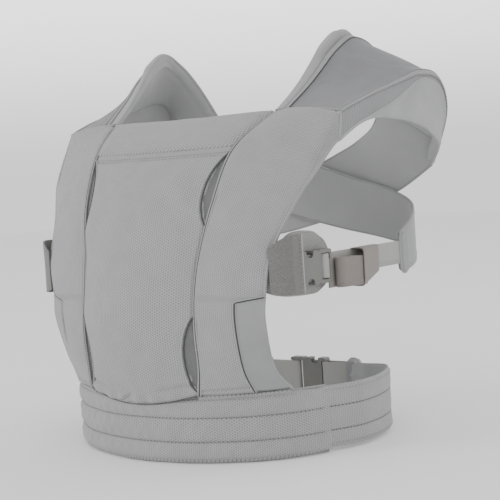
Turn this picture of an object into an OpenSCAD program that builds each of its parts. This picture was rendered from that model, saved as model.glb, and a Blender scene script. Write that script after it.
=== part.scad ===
// Soft baby carrier worn on the front: a bulging seat panel between two side bands, a padded
// waistband in three quilted channels, and two padded shoulder straps that cross on the
// wearer's back and clip to the opposite side of the panel.
// Millimetres. +Z is up, the baby's side faces -Y, +X is the wearer's left.

/* [Waistband] */
// Half width of the waistband, outside face
waist_half_w = 180; // [172:1:188]
// Depth of the waistband in front of the middle, outside face
waist_front = 162; // [158:1:164]
// Depth of the waistband behind the middle, outside face
waist_back = 140; // [134:1:146]
// Height of the padded waistband
waist_h = 70; // [66:1:70]
// Half angle of the padded part, measured from the front
pad_angle = 68; // [60:1:72]
// Height of the lower quilting seam
lower_seam_z = 22; // [18:1:25]
// Height of the upper quilting seam
upper_seam_z = 46.5; // [43:0.5:50]
// Depth of the quilting at a seam
quilt_depth = 2; // [0.5:0.1:2.5]

/* [Fabric] */
// Thickness of the outer knit with its backing
knit_t = 3; // [2.4:0.1:3]
// Thickness of a lining layer
lining_t = 1.6; // [1:0.1:1.8]
// Thickness of the foam in the shoulder straps
shoulder_foam_t = 6; // [4:0.5:6]
// Thickness of the foam in the waistband
waist_foam_t = 8; // [6:0.5:8]
// Thickness of the foam in the head support
head_foam_t = 5; // [3:0.5:5]
// Widest point of the mesh insets beside the panel
inset_w = 11; // [10:1:17]

/* [Buckles] */
// Width of the side webbing
side_web_w = 25; // [22:1:26]
// Width of the waist webbing
waist_web_w = 38; // [34:1:40]
// Thickness of the webbing
web_t = 1.4; // [1:0.1:1.5]
// Thickness of a buckle
buckle_t = 10; // [9.6:0.1:10.4]
// Turn of the side buckles away from straight back
side_turn = 5; // [4:0.5:6]
// Height of the side buckles' middle
side_z = 189; // [187:1:191]

/* [Hidden] */

// Colours
KNIT = [0.79, 0.79, 0.80];
JERSEY = [0.70, 0.70, 0.71];
MESH = [0.58, 0.58, 0.58];
LINING = [0.86, 0.86, 0.86];
FOAM = [0.93, 0.92, 0.86];
PLASTIC = [0.57, 0.57, 0.55];
WEBBING = [0.74, 0.75, 0.71];
TAUPE = [0.65, 0.60, 0.59];

// Rails of the left half of the front, from the waistband up.
// Middle of the seat panel
MIDDLE = [
    [0, -165.5, 61], [0, -172, 95], [0, -176, 135], [0, -172, 172],
    [0, -162, 213], [0, -144, 262], [0, -106, 311], [0, -52, 345]
];
// Seam between the panel and the side band
SEAM = [
    [72, -152, 71], [75, -152, 98], [75, -154, 135], [74, -150, 170],
    [77, -141, 210], [86, -126, 260], [94, -96, 312], [112, -44, 347]
];
// Free edge of the side band, round the baby's leg and the wearer's arm
EDGE = [
    [146, -96, 72], [140, -115, 95], [142, -128, 140], [143, -127, 166],
    [149, -122, 205], [160, -100, 246], [176, -76, 286], [186, -38, 341]
];
// Rails of the left shoulder strap, from the front seam over the shoulder and down.
// Edge at the neck
NECK = [
    [112, -44, 347], [116, -16, 368], [119, 12, 393], [121, 38, 418],
    [123, 66, 431], [126, 100, 419], [127, 132, 394], [118, 158, 352]
];
// Ridge above the arm
RIDGE = [
    [186, -38, 341], [190, -4, 352], [192, 34, 362], [194, 74, 372],
    [196, 112, 381], [199, 148, 376], [199, 165, 346], [182, 174, 306]
];
// Lower edge at the arm
ARM = [
    [190, -50, 313], [193, -18, 328], [196, 10, 335], [198, 45, 334],
    [200, 84, 329], [199, 122, 318], [193, 152, 302], [172, 170, 280]
];
// Middle of the back strap from the left shoulder to the right buckle
CROSSING = [
    [145, 164, 316], [114, 176, 294], [78, 185, 278], [39, 190, 265], [0, 191, 252],
    [-46, 189, 239], [-98, 182, 227], [-142, 165, 214], [-163, 134, 200], [-171, 101, 191]
];
// Which way the back strap faces at those points
CROSSING_FACES = [
    [0.09, 0.95, 0.22], [0.09, 0.99, 0.02], [0.06, 1, 0.02], [0.03, 1, 0], [0, 1, 0],
    [-0.12, 1, 0], [-0.35, 0.94, 0], [-0.72, 0.69, 0], [-0.93, 0.36, 0], [-0.996, 0.09, 0]
];
// Full width of the back strap at those points
CROSSING_WIDTHS = [90, 82, 75, 70, 66, 62, 58, 54, 50, 44];
// Where the side buckle's mouth is, on the left
SIDE_MOUTH = [164, -66, side_z];
// Where the waist buckle's mouth is
WAIST_MOUTH = [4, waist_back - 2, 35];
// Middle of the whole carrier's depth, which the model is set back by
MIDDLE_Y = 8.8;

// Row of the rails at which the head support folds, and the gap left there
FOLD = 6 / 7;
FOLD_GAP = 0.012;
// Share of the band's width at which the wedge's seam lies, and the wedge's height as a row
WEDGE_SIDE = 0.6;
WEDGE_TOP = 0.40;
WEDGE_SLOPE = 0.03;
// Height of the side band's bulge
BAND_BULGE = 5;
// Height of the shoulder strap's crown
STRAP_CROWN = 2.5;
// Gap between neighbouring pieces of fabric, along the fabric and through it
SEAM_GAP = 0.8;
LAYER_GAP = 0.4;
// Gap between a cover and a lining that is cut to other rows
LINING_GAP = 1.6;
// Share of a shoulder strap's section that lies on top, between the neck and the ridge
TOP_SHARE = 0.8;
// Sizes of a buckle along its length, from its mouth
SOCKET_L = 30.5;
CAVITY_L = 22;
FRAME_L = 20;
WALL = 2.7;
PLATE = 2;
TAB_X = 148;
CURVE_FN = 48;

// ---- Curves and sheets ----

function unit(v) = v / norm(v);

function mix(a, b, s) = a + (b - a) * s;

// Catmull-Rom curve through four values
function spline(a, b, c, d, u) =
    0.5 * (2 * b + (c - a) * u + (2 * a - 5 * b + 4 * c - d) * u * u
        + (3 * b - a - 3 * c + d) * u * u * u);

// Point on a smooth curve through all of the values of p, at t from 0 to 1
function along(p, t) =
    let (last = len(p) - 1, k = max(0, min(floor(t * last), last - 1)))
    spline(p[max(k - 1, 0)], p[k], p[k + 1], p[min(k + 2, last)], t * last - k);

// n + 1 evenly spaced values from a to b
function steps(a, b, n) = [for (i = [0 : n]) mix(a, b, i / n)];

// Outward direction at one point of a grid of points g[row][column]
function facing(g, i, j) =
    let (
        rows = len(g) - 1,
        cols = len(g[0]) - 1,
        across = g[i][min(j + 1, cols)] - g[i][max(j - 1, 0)],
        up = g[min(i + 1, rows)][j] - g[max(i - 1, 0)][j]
    )
    unit(cross(across, up));

// The grid moved outwards by d
function moved(g, d) =
    [for (i = [0 : len(g) - 1]) [for (j = [0 : len(g[0]) - 1]) g[i][j] + d * facing(g, i, j)]];

// Two triangles between four corners
function quad(a, b, c, d) = [[a, b, c], [a, c, d]];

function joined(lists) = [for (l = lists) each l];

// A closed sheet between an outer and an inner grid of the same size
module between(outer, inner) {
    rows = len(outer);
    cols = len(outer[0]);
    n = rows * cols;
    points = concat(joined(outer), joined(inner));
    skin = [
        for (i = [0 : rows - 2])
            for (j = [0 : cols - 2])
                let (a = i * cols + j, b = a + 1, c = b + cols, d = a + cols)
                each concat(quad(a, d, c, b), quad(n + a, n + b, n + c, n + d))
    ];
    sides = [
        for (i = [0 : rows - 2])
            let (a = i * cols, b = a + cols, c = a + cols - 1, d = c + cols)
            each concat(quad(a, n + a, n + b, b), quad(c, d, n + d, n + c))
    ];
    ends = [
        for (j = [0 : cols - 2])
            let (a = j, b = j + 1, c = (rows - 1) * cols + j, d = c + 1)
            each concat(quad(a, b, n + b, n + a), quad(c, n + c, n + d, d))
    ];
    polyhedron(points = points, faces = concat(skin, sides, ends), convexity = 6);
}

// A closed sheet of thickness t whose middle lies d outside the grid
module sheet(g, t, d = 0) {
    between(moved(g, d + t / 2), moved(g, d - t / 2));
}

module on_side(side) {
    if (side > 0) {
        children();
    } else {
        mirror([1, 0, 0]) children();
    }
}

// ---- Front ----

// Half width of a mesh inset at row t, between rows from and to
function inset_at(t, from, to) =
    t <= from || t >= to ? 0 : inset_w * pow(sin(180 * (t - from) / (to - from)), 0.8);

UPPER_INSET = [0.655, 0.845];
LOWER_INSET = [0.03, 0.34];

// Share of the panel's half width that the knit covers at row t
function panel_edge(t) =
    1 - (inset_at(t, UPPER_INSET[0], UPPER_INSET[1]) + inset_at(t, LOWER_INSET[0], LOWER_INSET[1])
        + SEAM_GAP) / along(SEAM, t)[0];

// Point of the panel's surface at row t and share q of its half width
function panel_at(t, q) =
    let (m = along(MIDDLE, t), s = along(SEAM, t), w = q * q)
    [s[0] * q, mix(m[1], s[1], w), mix(m[2], s[2], w)];

function panel_grid(rows, shares, reach = 1) =
    [for (t = rows) [for (q = shares) panel_at(t, q * (reach > 0 ? reach : panel_edge(t)))]];

PANEL_ROWS = [0, 0.03, 0.09, 0.16, 0.23, 0.30, 0.34, 0.42, 0.52, 0.60, 0.655, 0.70, 0.75, 0.80,
    FOLD - FOLD_GAP];
LINING_ROWS = [0.09, 0.2, 0.32, 0.44, 0.56, 0.68, 0.77, FOLD - 0.04];
HEAD_ROWS = steps(FOLD + FOLD_GAP, 1, 3);

module front_panel() {
    color(KNIT) sheet(panel_grid(PANEL_ROWS, steps(-1, 1, 8), 0), knit_t);
}

module panel_lining() {
    color(LINING)
        sheet(panel_grid(LINING_ROWS, steps(-0.9, 0.9, 6)), lining_t,
            -(knit_t + lining_t) / 2 - LINING_GAP);
}

module head_layer(thickness, out, reach, paint) {
    color(paint) sheet(panel_grid(HEAD_ROWS, steps(-reach, reach, 8)), thickness, out);
}

module head_support_cover() {
    head_layer(lining_t, (head_foam_t + lining_t) / 2 + LAYER_GAP, 0.96, KNIT);
}

module head_support_foam() {
    head_layer(head_foam_t, 0, 0.93, FOAM);
}

module head_support_lining() {
    head_layer(lining_t, -(head_foam_t + lining_t) / 2 - LAYER_GAP, 0.94, LINING);
}

module mesh_inset(side, span) {
    rows = steps(span[0] + 0.012, span[1] - 0.012, 7);
    grid = [for (t = rows)
        let (edge = panel_edge(t) + 2 * SEAM_GAP / along(SEAM, t)[0])
        [for (q = steps(edge, 1 - SEAM_GAP / along(SEAM, t)[0], 2)) panel_at(t, q)]];
    color(MESH) on_side(side) sheet(grid, lining_t, -0.5);
}

// Point of the side band's surface at row t and share s from the seam to the free edge
function band_at(t, s) =
    let (
        a = along(SEAM, t),
        b = along(EDGE, t),
        up = along(SEAM, min(t + 0.02, 1)) - along(SEAM, max(t - 0.02, 0)),
        out = unit(cross(b - a, up))
    )
    mix(a, b, s) + out * BAND_BULGE * 4 * s * (1 - s);

// Share of the band's width that the knit covers at row t: the wedge takes the lower corner
function band_limit(t) =
    t <= WEDGE_TOP ? WEDGE_SIDE
        : t >= WEDGE_TOP + WEDGE_SLOPE ? 1
        : mix(WEDGE_SIDE, 1, (t - WEDGE_TOP) / WEDGE_SLOPE);

BAND_ROWS = [0.005, 0.08, 0.16, 0.24, 0.32, WEDGE_TOP, WEDGE_TOP + WEDGE_SLOPE, 0.5, 0.58, 0.66,
    0.74, 0.82, 0.9, 0.985];

module side_band(side) {
    grid = [for (t = BAND_ROWS) [for (s = steps(0.012, band_limit(t) - 0.008, 4)) band_at(t, s)]];
    color(KNIT) on_side(side) sheet(grid, knit_t);
}

module band_lining(side) {
    rows = steps(0.06, 0.94, 10);
    grid = [for (t = rows) [for (s = steps(0.08, 0.84, 3)) band_at(t, s)]];
    color(LINING) on_side(side) sheet(grid, lining_t, -(knit_t + lining_t) / 2 - LINING_GAP);
}

module side_wedge(side) {
    grid = [for (r = steps(0, 1, 6))
        [for (s = steps(WEDGE_SIDE + 0.008, 0.995, 3))
            let (top = WEDGE_TOP - 0.012 + WEDGE_SLOPE * (s - WEDGE_SIDE) / (1 - WEDGE_SIDE))
            band_at(mix(0.005, top, r), s)]];
    color(JERSEY) on_side(side) sheet(grid, knit_t);
}

// ---- Shoulder straps ----

// Point of a shoulder strap's surface at row t and share s from the neck to the arm
function strap_at(t, s) =
    let (
        n = along(NECK, t),
        r = along(RIDGE, t),
        a = along(ARM, t),
        up = along(NECK, min(t + 0.03, 1)) - along(NECK, max(t - 0.03, 0)),
        out = unit(cross(r - n, up)),
        top = s / TOP_SHARE
    )
    s <= TOP_SHARE
        ? mix(n, r, top) + out * STRAP_CROWN * 4 * top * (1 - top)
        : mix(r, a, (s - TOP_SHARE) / (1 - TOP_SHARE));

module strap_layer(side, thickness, out, inset, paint) {
    rows = concat([0.015 + inset], steps(0.085, 0.925, 12), [0.994 - inset]);
    shares = [inset, 0.17, 0.38, 0.6, TOP_SHARE, 0.9, 1 - inset];
    grid = [for (t = rows) [for (s = shares) strap_at(t, s)]];
    color(paint) on_side(side) sheet(grid, thickness, out);
}

module shoulder_cover(side) {
    strap_layer(side, lining_t, 0, 0, JERSEY);
}

module shoulder_foam(side) {
    strap_layer(side, shoulder_foam_t, -(lining_t + shoulder_foam_t) / 2 - LAYER_GAP, 0.03, FOAM);
}

module shoulder_lining(side) {
    strap_layer(side, lining_t, -lining_t - shoulder_foam_t - 2 * LAYER_GAP, 0.015, LINING);
}

// Share of the way along the back strap in which it flattens out from the shoulder's section
FLATTENS = 0.14;
// How far the upper back strap lies over the lower one
STRAP_LIFT = 7;

// The two back straps lie one over the other where they cross
module back_strap(side) {
    lift = side > 0 ? STRAP_LIFT : 0;
    grid = [for (t = steps(0, 1, 18))
        let (
            middle = along(CROSSING, t),
            out = unit(along(CROSSING_FACES, t)),
            run = unit(along(CROSSING, min(t + 0.02, 1)) - along(CROSSING, max(t - 0.02, 0))),
            across = unit(cross(out, run)),
            half = along(CROSSING_WIDTHS, t) / 2,
            over = lift * min(1, pow(sin(180 * t), 2) * 1.8),
            flat = min(1, t / FLATTENS)
        )
        [for (s = [0, 0.2, 0.4, 0.6, TOP_SHARE, 1])
            mix(strap_at(1, s), middle + out * over + across * half * (1 - 2 * s),
                flat * flat * (3 - 2 * flat))]];
    color(JERSEY) on_side(side) sheet(grid, lining_t + 0.8);
}

// ---- Waistband ----

// Point on the waistband's outside face, moved in by d, at an angle from the front
function waist_at(angle, z, d = 0) =
    let (depth = abs(angle) <= 90 ? waist_front : waist_back)
    [(waist_half_w - d) * sin(angle), -(depth - d) * cos(angle), z];

// Height and quilting depth of each row of the waistband's cover
function quilt_rows() = [
    [0, 1.5], [5, 0.4], [lower_seam_z - 7, 0], [lower_seam_z, quilt_depth],
    [lower_seam_z + 7, 0], [upper_seam_z - 7, 0], [upper_seam_z, quilt_depth],
    [upper_seam_z + 7, 0], [waist_h - 5, 0.4], [waist_h, 3]
];

function waist_ring(rows, from, to, n, d) =
    [for (r = rows) [for (a = steps(from, to, n)) waist_at(a, r[0], r[1] + d)]];

COVER_IN = 4.4;

module waistband_cover() {
    rows = quilt_rows();
    flat_rows = [for (r = rows) [r[0], 0]];
    color(KNIT)
        between(waist_ring(rows, -pad_angle, pad_angle, 20, 0),
            waist_ring(flat_rows, -pad_angle, pad_angle, 20, COVER_IN));
}

module waist_layer(from, to, low, high, reach, paint) {
    rows = [[low, 0], [high, 0]];
    color(paint)
        between(waist_ring(rows, -reach, reach, 20, from), waist_ring(rows, -reach, reach, 20, to));
}

module waistband_foam() {
    near = COVER_IN + LAYER_GAP;
    waist_layer(near, near + waist_foam_t, 2, waist_h - 2, pad_angle - 1, FOAM);
}

module waistband_lining() {
    near = COVER_IN + waist_foam_t + 2 * LAYER_GAP;
    waist_layer(near, near + lining_t, 0, waist_h, pad_angle, LINING);
}

WING_END = 156;
WING_T = 5;

module waistband_wing(side) {
    angles = [for (r = steps(0, 1, 14)) mix(pad_angle + 0.8, WING_END, r)];
    function low(a) = a < 120 ? 5 : mix(5, 14, (a - 120) / (WING_END - 120));
    function high(a) = a < 120 ? waist_h - 1.5 : mix(waist_h - 1.5, 56, (a - 120) / (WING_END - 120));
    function soft(x) = let (r = min(1, max(0, x))) r * r * (3 - 2 * r);
    // The wing stands out a little at the side, and its end lifts off the body, out to the webbing
    function lift(a) = 7.8 * soft((a - 138) / 19) + 6 * soft((a - 68) / 16) * soft((146 - a) / 36);
    function face(d) =
        [for (r = steps(0, 1, 3)) [for (a = angles) waist_at(a, mix(low(a), high(a), r), d - lift(a))]];
    color(JERSEY) on_side(side) between(face(3), face(3 + WING_T));
}

// ---- Buckles ----
// A buckle is drawn with its mouth at the origin: +X is the way the plug comes out, +Y is up,
// and +Z faces away from the wearer.

module place_side() {
    translate(SIDE_MOUTH) rotate([0, 0, 90 - side_turn]) rotate([90, 0, 0]) children();
}

module place_waist() {
    translate(WAIST_MOUTH) rotate([0, 0, 180]) rotate([90, 0, 0]) children();
}

module block(x, y, z) {
    translate([x[0], y[0], z[0]]) cube([x[1] - x[0], y[1] - y[0], z[1] - z[0]]);
}

// A rectangle with round corners between two x and two y values
module rounded(x, y, r) {
    translate([x[0] + r, y[0]]) square([x[1] - x[0] - 2 * r, y[1] - y[0]]);
    translate([x[0], y[0] + r]) square([x[1] - x[0], y[1] - y[0] - 2 * r]);
    for (cx = [x[0] + r, x[1] - r], cy = [y[0] + r, y[1] - r])
        translate([cx, cy]) circle(r, $fn = CURVE_FN);
}

// A flat plate with rounded corners in the X-Y plane, between two heights
module rounded_plate(x, y, z, r) {
    translate([0, 0, z[0]]) linear_extrude(z[1] - z[0]) rounded(x, y, r);
}

function body_half(w) = w / 2 + 4.5;
function cavity_half(w) = body_half(w) - WALL;

module socket(w) {
    half = body_half(w);
    inner = cavity_half(w);
    thick = buckle_t / 2;
    color(PLASTIC) difference() {
        rounded_plate([-SOCKET_L, 0], [-half, half], [-thick, thick], 3);
        block([-CAVITY_L, 1], [-inner, inner], [PLATE - thick, thick - PLATE]);
        for (side = [-1, 1])
            translate([0, side * (half + 1), 0])
                rounded_plate([-CAVITY_L + 2, -9], [-7.5, 7.5], [-thick - 1, thick + 1], 4);
        block([-SOCKET_L + 2.4, -SOCKET_L + 5.8], [-w / 2 - 0.8, w / 2 + 0.8], [-thick - 1, thick + 1]);
    }
}

module plug(w) {
    half = body_half(w);
    thick = buckle_t / 2 - 0.4;
    slot = w / 2 + 0.8;
    tongue = buckle_t / 2 - PLATE - 0.6;
    color(PLASTIC) union() {
        difference() {
            rounded_plate([0.4, FRAME_L], [-half, half], [-thick, thick], 2.5);
            block([3.4, FRAME_L - 3], [-slot, slot], [-thick - 1, thick + 1]);
            block([FRAME_L - 3.5, FRAME_L + 1], [-slot, slot], [-thick - 1, -2]);
        }
        translate([10.2, -slot - 0.5, 0]) rotate([-90, 0, 0])
            cylinder(h = 2 * slot + 1, r = 1.9, $fn = CURVE_FN);
        block([-CAVITY_L + 3, 1], [-2.2, 2.2], [-tongue, tongue]);
    }
}

// Where a latch turns, from the mouth and from the middle
LATCH_X = -2.6;
function latch_y(w) = cavity_half(w) - 4.5;

module latch(w, side) {
    inner = cavity_half(w) - 0.8;
    pivot = latch_y(w);
    tongue = buckle_t / 2 - PLATE - 0.6;
    pad_from = -CAVITY_L + 3;
    outline = [
        [pad_from, inner - 1.2], [pad_from + 1.2, inner], [pad_from + 9, inner],
        [pad_from + 12, inner - 2.4], [LATCH_X + 0.3, pivot + 1.2], [LATCH_X + 0.3, pivot - 1.2],
        [pad_from + 10, inner - 5.2], [pad_from + 1, inner - 4.6], [pad_from, inner - 3.8]
    ];
    color(PLASTIC) mirror([0, side > 0 ? 0 : 1, 0]) translate([0, 0, -tongue]) union() {
        linear_extrude(2 * tongue) polygon(outline);
        translate([LATCH_X, pivot, 0]) cylinder(h = 2 * tongue, r = 1.8, $fn = CURVE_FN);
    }
}

// Webbing seen along its width: a closed band round the inside x values and half height
module web_ring(x, half, w) {
    translate([0, w / 2, 0]) rotate([90, 0, 0]) linear_extrude(w) difference() {
        rounded([x[0] - web_t, x[1] + web_t], [-half - web_t, half + web_t], 0.8 + web_t);
        rounded(x, [-half, half], 0.8);
    }
}

// Webbing that holds the socket, round the socket's bar
module anchor_loop(w, from) {
    color(WEBBING) difference() {
        web_ring([from, -SOCKET_L + 2.9], buckle_t / 2 + 0.2, w);
        block([from - 2, from + 8], [-w, w], [-20, 20]);
    }
}

// Webbing from round the plug's bar to where it is sewn down
module long_webbing(w, to) {
    bar = 2.3;
    color(WEBBING) translate([0, w / 2, 0]) rotate([90, 0, 0]) linear_extrude(w) union() {
        difference() {
            translate([10.2, 0]) circle(bar + web_t, $fn = CURVE_FN);
            translate([10.2, 0]) circle(bar, $fn = CURVE_FN);
            translate([10.2, -bar]) square([9, 2 * bar]);
        }
        translate([10.2, -bar - web_t]) square([FRAME_L - 13.2, web_t]);
        translate([10.2, bar]) square([4, web_t]);
        translate([FRAME_L - 3.6, -bar - web_t]) square([to - FRAME_L + 3.6, web_t]);
    }
}

// Where the rolled spare end and the keeper lie along the webbing, at the side and at the waist
SIDE_ROLL = [FRAME_L + 3, FRAME_L + 45];
SIDE_KEEPER = [FRAME_L + 47, FRAME_L + 75];
WAIST_ROLL = [FRAME_L + 3, FRAME_L + 31];
WAIST_KEEPER = [FRAME_L + 33, FRAME_L + 57];

// The spare end of the webbing, folded over and over into a flat roll
module webbing_roll(w, span) {
    layers = 4;
    step = 2.6;
    color(TAUPE) for (k = [0 : layers - 1])
        rounded_plate([span[0] + k, span[1]], [-w / 2 - 3, w / 2 - 3],
            [0.4 + k * step, 0.4 + k * step + step], 1);
}

// An elastic loop that holds the spare end against the webbing
module web_keeper(w, span) {
    low = -w / 2 - 4.5;
    high = w / 2 + 1.5;
    color(TAUPE) difference() {
        rounded_plate(span, [low, high], [-5, 4.2], 1);
        block([span[0] - 1, span[1] + 1], [low + 1.2, high - 1.2], [-4.2, 3.2]);
    }
}

module strap_end_tab(w) {
    color(JERSEY) rounded_plate([TAB_X, TAB_X + 15], [-w / 2 - 9.5, w / 2 + 9.5], [-4.6, 0.6], 6);
}

// Columns of the side flap: place along the buckle, depth, lowest and highest point
FLAP = [
    [-55, -20, -18, 4], [-50, -14.5, -21, 14], [-42, -9.8, -23, 26], [-30, -8.9, -24.5, 34],
    [-15, -8.7, -25.5, 36], [0, -8.7, -26, 35], [9, -8.7, -25.5, 33.5], [17, -8.7, -22.5, 29],
    [23, -8.7, -16, 21], [26, -8.7, -7, 10]
];
// Columns of the mesh sleeve over the socket's end
SLEEVE = [
    [-58, -7, -19, 32], [-53.5, 1, -20, 34], [-47, 7.8, -21, 35], [-40, 8.2, -22, 35.5],
    [-32, 8.2, -22, 35]
];

function column_grid(columns, n) =
    [for (r = steps(0, 1, n)) [for (c = columns) [c[0], mix(c[2], c[3], r), c[1]]]];

module buckle_flap() {
    color(MESH) sheet(column_grid(FLAP, 3), 2.6);
}

module buckle_sleeve() {
    color(MESH) sheet(column_grid(SLEEVE, 3), 1.6);
}

module side_latch(side, upper) {
    on_side(side) place_side() latch(side_web_w, upper);
}

translate([0, -MIDDLE_Y, 0]) {
    front_panel();
    panel_lining();
    head_support_cover();
    head_support_foam();
    head_support_lining();
    mesh_inset(1, UPPER_INSET);  // mesh_inset_upper_left
    mesh_inset(-1, UPPER_INSET);  // mesh_inset_upper_right
    mesh_inset(1, LOWER_INSET);  // mesh_inset_lower_left
    mesh_inset(-1, LOWER_INSET);  // mesh_inset_lower_right
    side_band(1);  // side_band_left
    side_band(-1);  // side_band_right
    band_lining(1);  // band_lining_left
    band_lining(-1);  // band_lining_right
    side_wedge(1);  // side_wedge_left
    side_wedge(-1);  // side_wedge_right
    shoulder_cover(1);  // shoulder_cover_left
    shoulder_cover(-1);  // shoulder_cover_right
    shoulder_foam(1);  // shoulder_foam_left
    shoulder_foam(-1);  // shoulder_foam_right
    shoulder_lining(1);  // shoulder_lining_left
    shoulder_lining(-1);  // shoulder_lining_right
    back_strap(1);  // back_strap_left
    back_strap(-1);  // back_strap_right
    on_side(1) place_side() strap_end_tab(side_web_w);  // strap_end_tab_left
    on_side(-1) place_side() strap_end_tab(side_web_w);  // strap_end_tab_right
    waistband_cover();
    waistband_foam();
    waistband_lining();
    waistband_wing(1);  // waistband_wing_left
    waistband_wing(-1);  // waistband_wing_right
    on_side(1) place_side() buckle_flap();  // buckle_flap_left
    on_side(-1) place_side() buckle_flap();  // buckle_flap_right
    on_side(1) place_side() buckle_sleeve();  // buckle_sleeve_left
    on_side(-1) place_side() buckle_sleeve();  // buckle_sleeve_right
    on_side(1) place_side() anchor_loop(side_web_w, -52);  // anchor_loop_left
    on_side(-1) place_side() anchor_loop(side_web_w, -52);  // anchor_loop_right
    on_side(1) place_side() socket(side_web_w);  // side_socket_left
    on_side(-1) place_side() socket(side_web_w);  // side_socket_right
    on_side(1) place_side() plug(side_web_w);  // side_plug_left
    on_side(-1) place_side() plug(side_web_w);  // side_plug_right
    side_latch(1, 1);  // side_latch_upper_left
    side_latch(-1, 1);  // side_latch_upper_right
    side_latch(1, -1);  // side_latch_lower_left
    side_latch(-1, -1);  // side_latch_lower_right
    on_side(1) place_side() long_webbing(side_web_w, TAB_X);  // side_webbing_left
    on_side(-1) place_side() long_webbing(side_web_w, TAB_X);  // side_webbing_right
    on_side(1) place_side() webbing_roll(side_web_w, SIDE_ROLL);  // webbing_roll_left
    on_side(-1) place_side() webbing_roll(side_web_w, SIDE_ROLL);  // webbing_roll_right
    on_side(1) place_side() web_keeper(side_web_w, SIDE_KEEPER);  // web_keeper_left
    on_side(-1) place_side() web_keeper(side_web_w, SIDE_KEEPER);  // web_keeper_right
    place_waist() anchor_loop(waist_web_w, -70);  // waist_anchor_loop
    place_waist() socket(waist_web_w);  // waist_socket
    place_waist() plug(waist_web_w);  // waist_plug
    place_waist() latch(waist_web_w, 1);  // waist_latch_upper
    place_waist() latch(waist_web_w, -1);  // waist_latch_lower
    place_waist() long_webbing(waist_web_w, 92);  // waist_webbing
    place_waist() webbing_roll(waist_web_w, WAIST_ROLL);  // waist_webbing_roll
    place_waist() web_keeper(waist_web_w, WAIST_KEEPER);  // waist_web_keeper
}
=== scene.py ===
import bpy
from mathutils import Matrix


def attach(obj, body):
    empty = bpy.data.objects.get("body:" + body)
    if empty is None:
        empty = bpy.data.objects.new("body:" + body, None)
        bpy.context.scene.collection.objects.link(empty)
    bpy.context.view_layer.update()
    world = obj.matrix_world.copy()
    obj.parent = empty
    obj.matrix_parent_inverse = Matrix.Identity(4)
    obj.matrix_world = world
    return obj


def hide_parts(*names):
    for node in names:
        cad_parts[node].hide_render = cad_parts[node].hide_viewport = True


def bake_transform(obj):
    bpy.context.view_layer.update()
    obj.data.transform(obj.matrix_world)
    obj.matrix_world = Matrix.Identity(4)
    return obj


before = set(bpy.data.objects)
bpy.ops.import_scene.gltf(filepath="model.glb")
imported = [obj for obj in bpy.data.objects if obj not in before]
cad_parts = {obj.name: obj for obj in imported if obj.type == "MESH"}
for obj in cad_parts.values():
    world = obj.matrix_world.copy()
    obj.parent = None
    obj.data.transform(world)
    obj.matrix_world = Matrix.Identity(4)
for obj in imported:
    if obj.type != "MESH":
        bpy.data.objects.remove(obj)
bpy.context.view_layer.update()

import math

import bmesh
import bpy
import numpy as np
from mathutils import Matrix

# ---------------------------------------------------------------- camera
SET_BACK = 0.0088


def unit(v):
    """Vectors scaled to length 1."""
    v = np.asarray(v, float)
    return v / np.maximum(np.linalg.norm(v, axis=-1, keepdims=True), 1e-12)


def placed(name, data, at, x, y, z):
    """A camera or light at one place, with its axes."""
    m = np.eye(4)
    m[:3, 0], m[:3, 1], m[:3, 2], m[:3, 3] = x, y, z, at
    obj = bpy.data.objects.new(name, data)
    obj.matrix_world = Matrix(m.tolist())
    bpy.context.scene.collection.objects.link(obj)
    return obj


def set_camera():
    """A fixed camera in front and to the +X side, 0.3 m up, rolled 4 degrees."""
    eye = np.array([0.8619, -1.1032 - SET_BACK, 0.300])
    forward = unit(np.array([0, -SET_BACK, 0.196]) - eye)
    right = unit(np.cross(forward, [0, 0, 1]))
    up = np.cross(right, forward)
    roll = math.radians(-4)
    c, s = math.cos(roll), math.sin(roll)
    right, up = right * c + up * s, up * c - right * s
    forward = unit(forward + right * 0.01905 + up * 0.0038)
    right = unit(np.cross(forward, up))
    up = np.cross(right, forward)
    data = bpy.data.cameras.new("camera")
    data.lens, data.sensor_width = 90.72, 36
    data.clip_end = 20
    bpy.context.scene.camera = placed("camera", data, eye, right, up, -forward)


set_camera()


# ---------------------------------------------------------------- rails, as in the CAD
def mm(points):
    """Points in millimetres, before the set-back, as metres in the part's frame."""
    a = np.array(points, float) / 1000
    a[:, 1] -= SET_BACK
    return a


MIDDLE = mm([[0, -165.5, 61], [0, -172, 95], [0, -176, 135], [0, -172, 172],
             [0, -162, 213], [0, -144, 262], [0, -106, 311], [0, -52, 345]])
SEAM = mm([[72, -152, 71], [75, -152, 98], [75, -154, 135], [74, -150, 170],
           [77, -141, 210], [86, -126, 260], [94, -96, 312], [112, -44, 347]])
EDGE = mm([[146, -96, 72], [140, -115, 95], [142, -128, 140], [143, -127, 166],
           [149, -122, 205], [160, -100, 246], [176, -76, 286], [186, -38, 341]])
NECK = mm([[112, -44, 347], [116, -16, 368], [119, 12, 393], [121, 38, 418],
           [123, 66, 431], [126, 100, 419], [127, 132, 394], [118, 158, 352]])
RIDGE = mm([[186, -38, 341], [190, -4, 352], [192, 34, 362], [194, 74, 372],
            [196, 112, 381], [199, 148, 376], [199, 165, 346], [182, 174, 306]])
ARM = mm([[190, -50, 313], [193, -18, 328], [196, 10, 335], [198, 45, 334],
          [200, 84, 329], [199, 122, 318], [193, 152, 302], [172, 170, 280]])
CROSSING = mm([[145, 164, 316], [114, 176, 294], [78, 185, 278], [39, 190, 265], [0, 191, 252],
               [-46, 189, 239], [-98, 182, 227], [-142, 165, 214], [-163, 134, 200], [-171, 101, 191]])
CROSSING_FACES = np.array([[0.09, 0.95, 0.22], [0.09, 0.99, 0.02], [0.06, 1, 0.02], [0.03, 1, 0],
                           [0, 1, 0], [-0.12, 1, 0], [-0.35, 0.94, 0], [-0.72, 0.69, 0],
                           [-0.93, 0.36, 0], [-0.996, 0.09, 0]])
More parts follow.
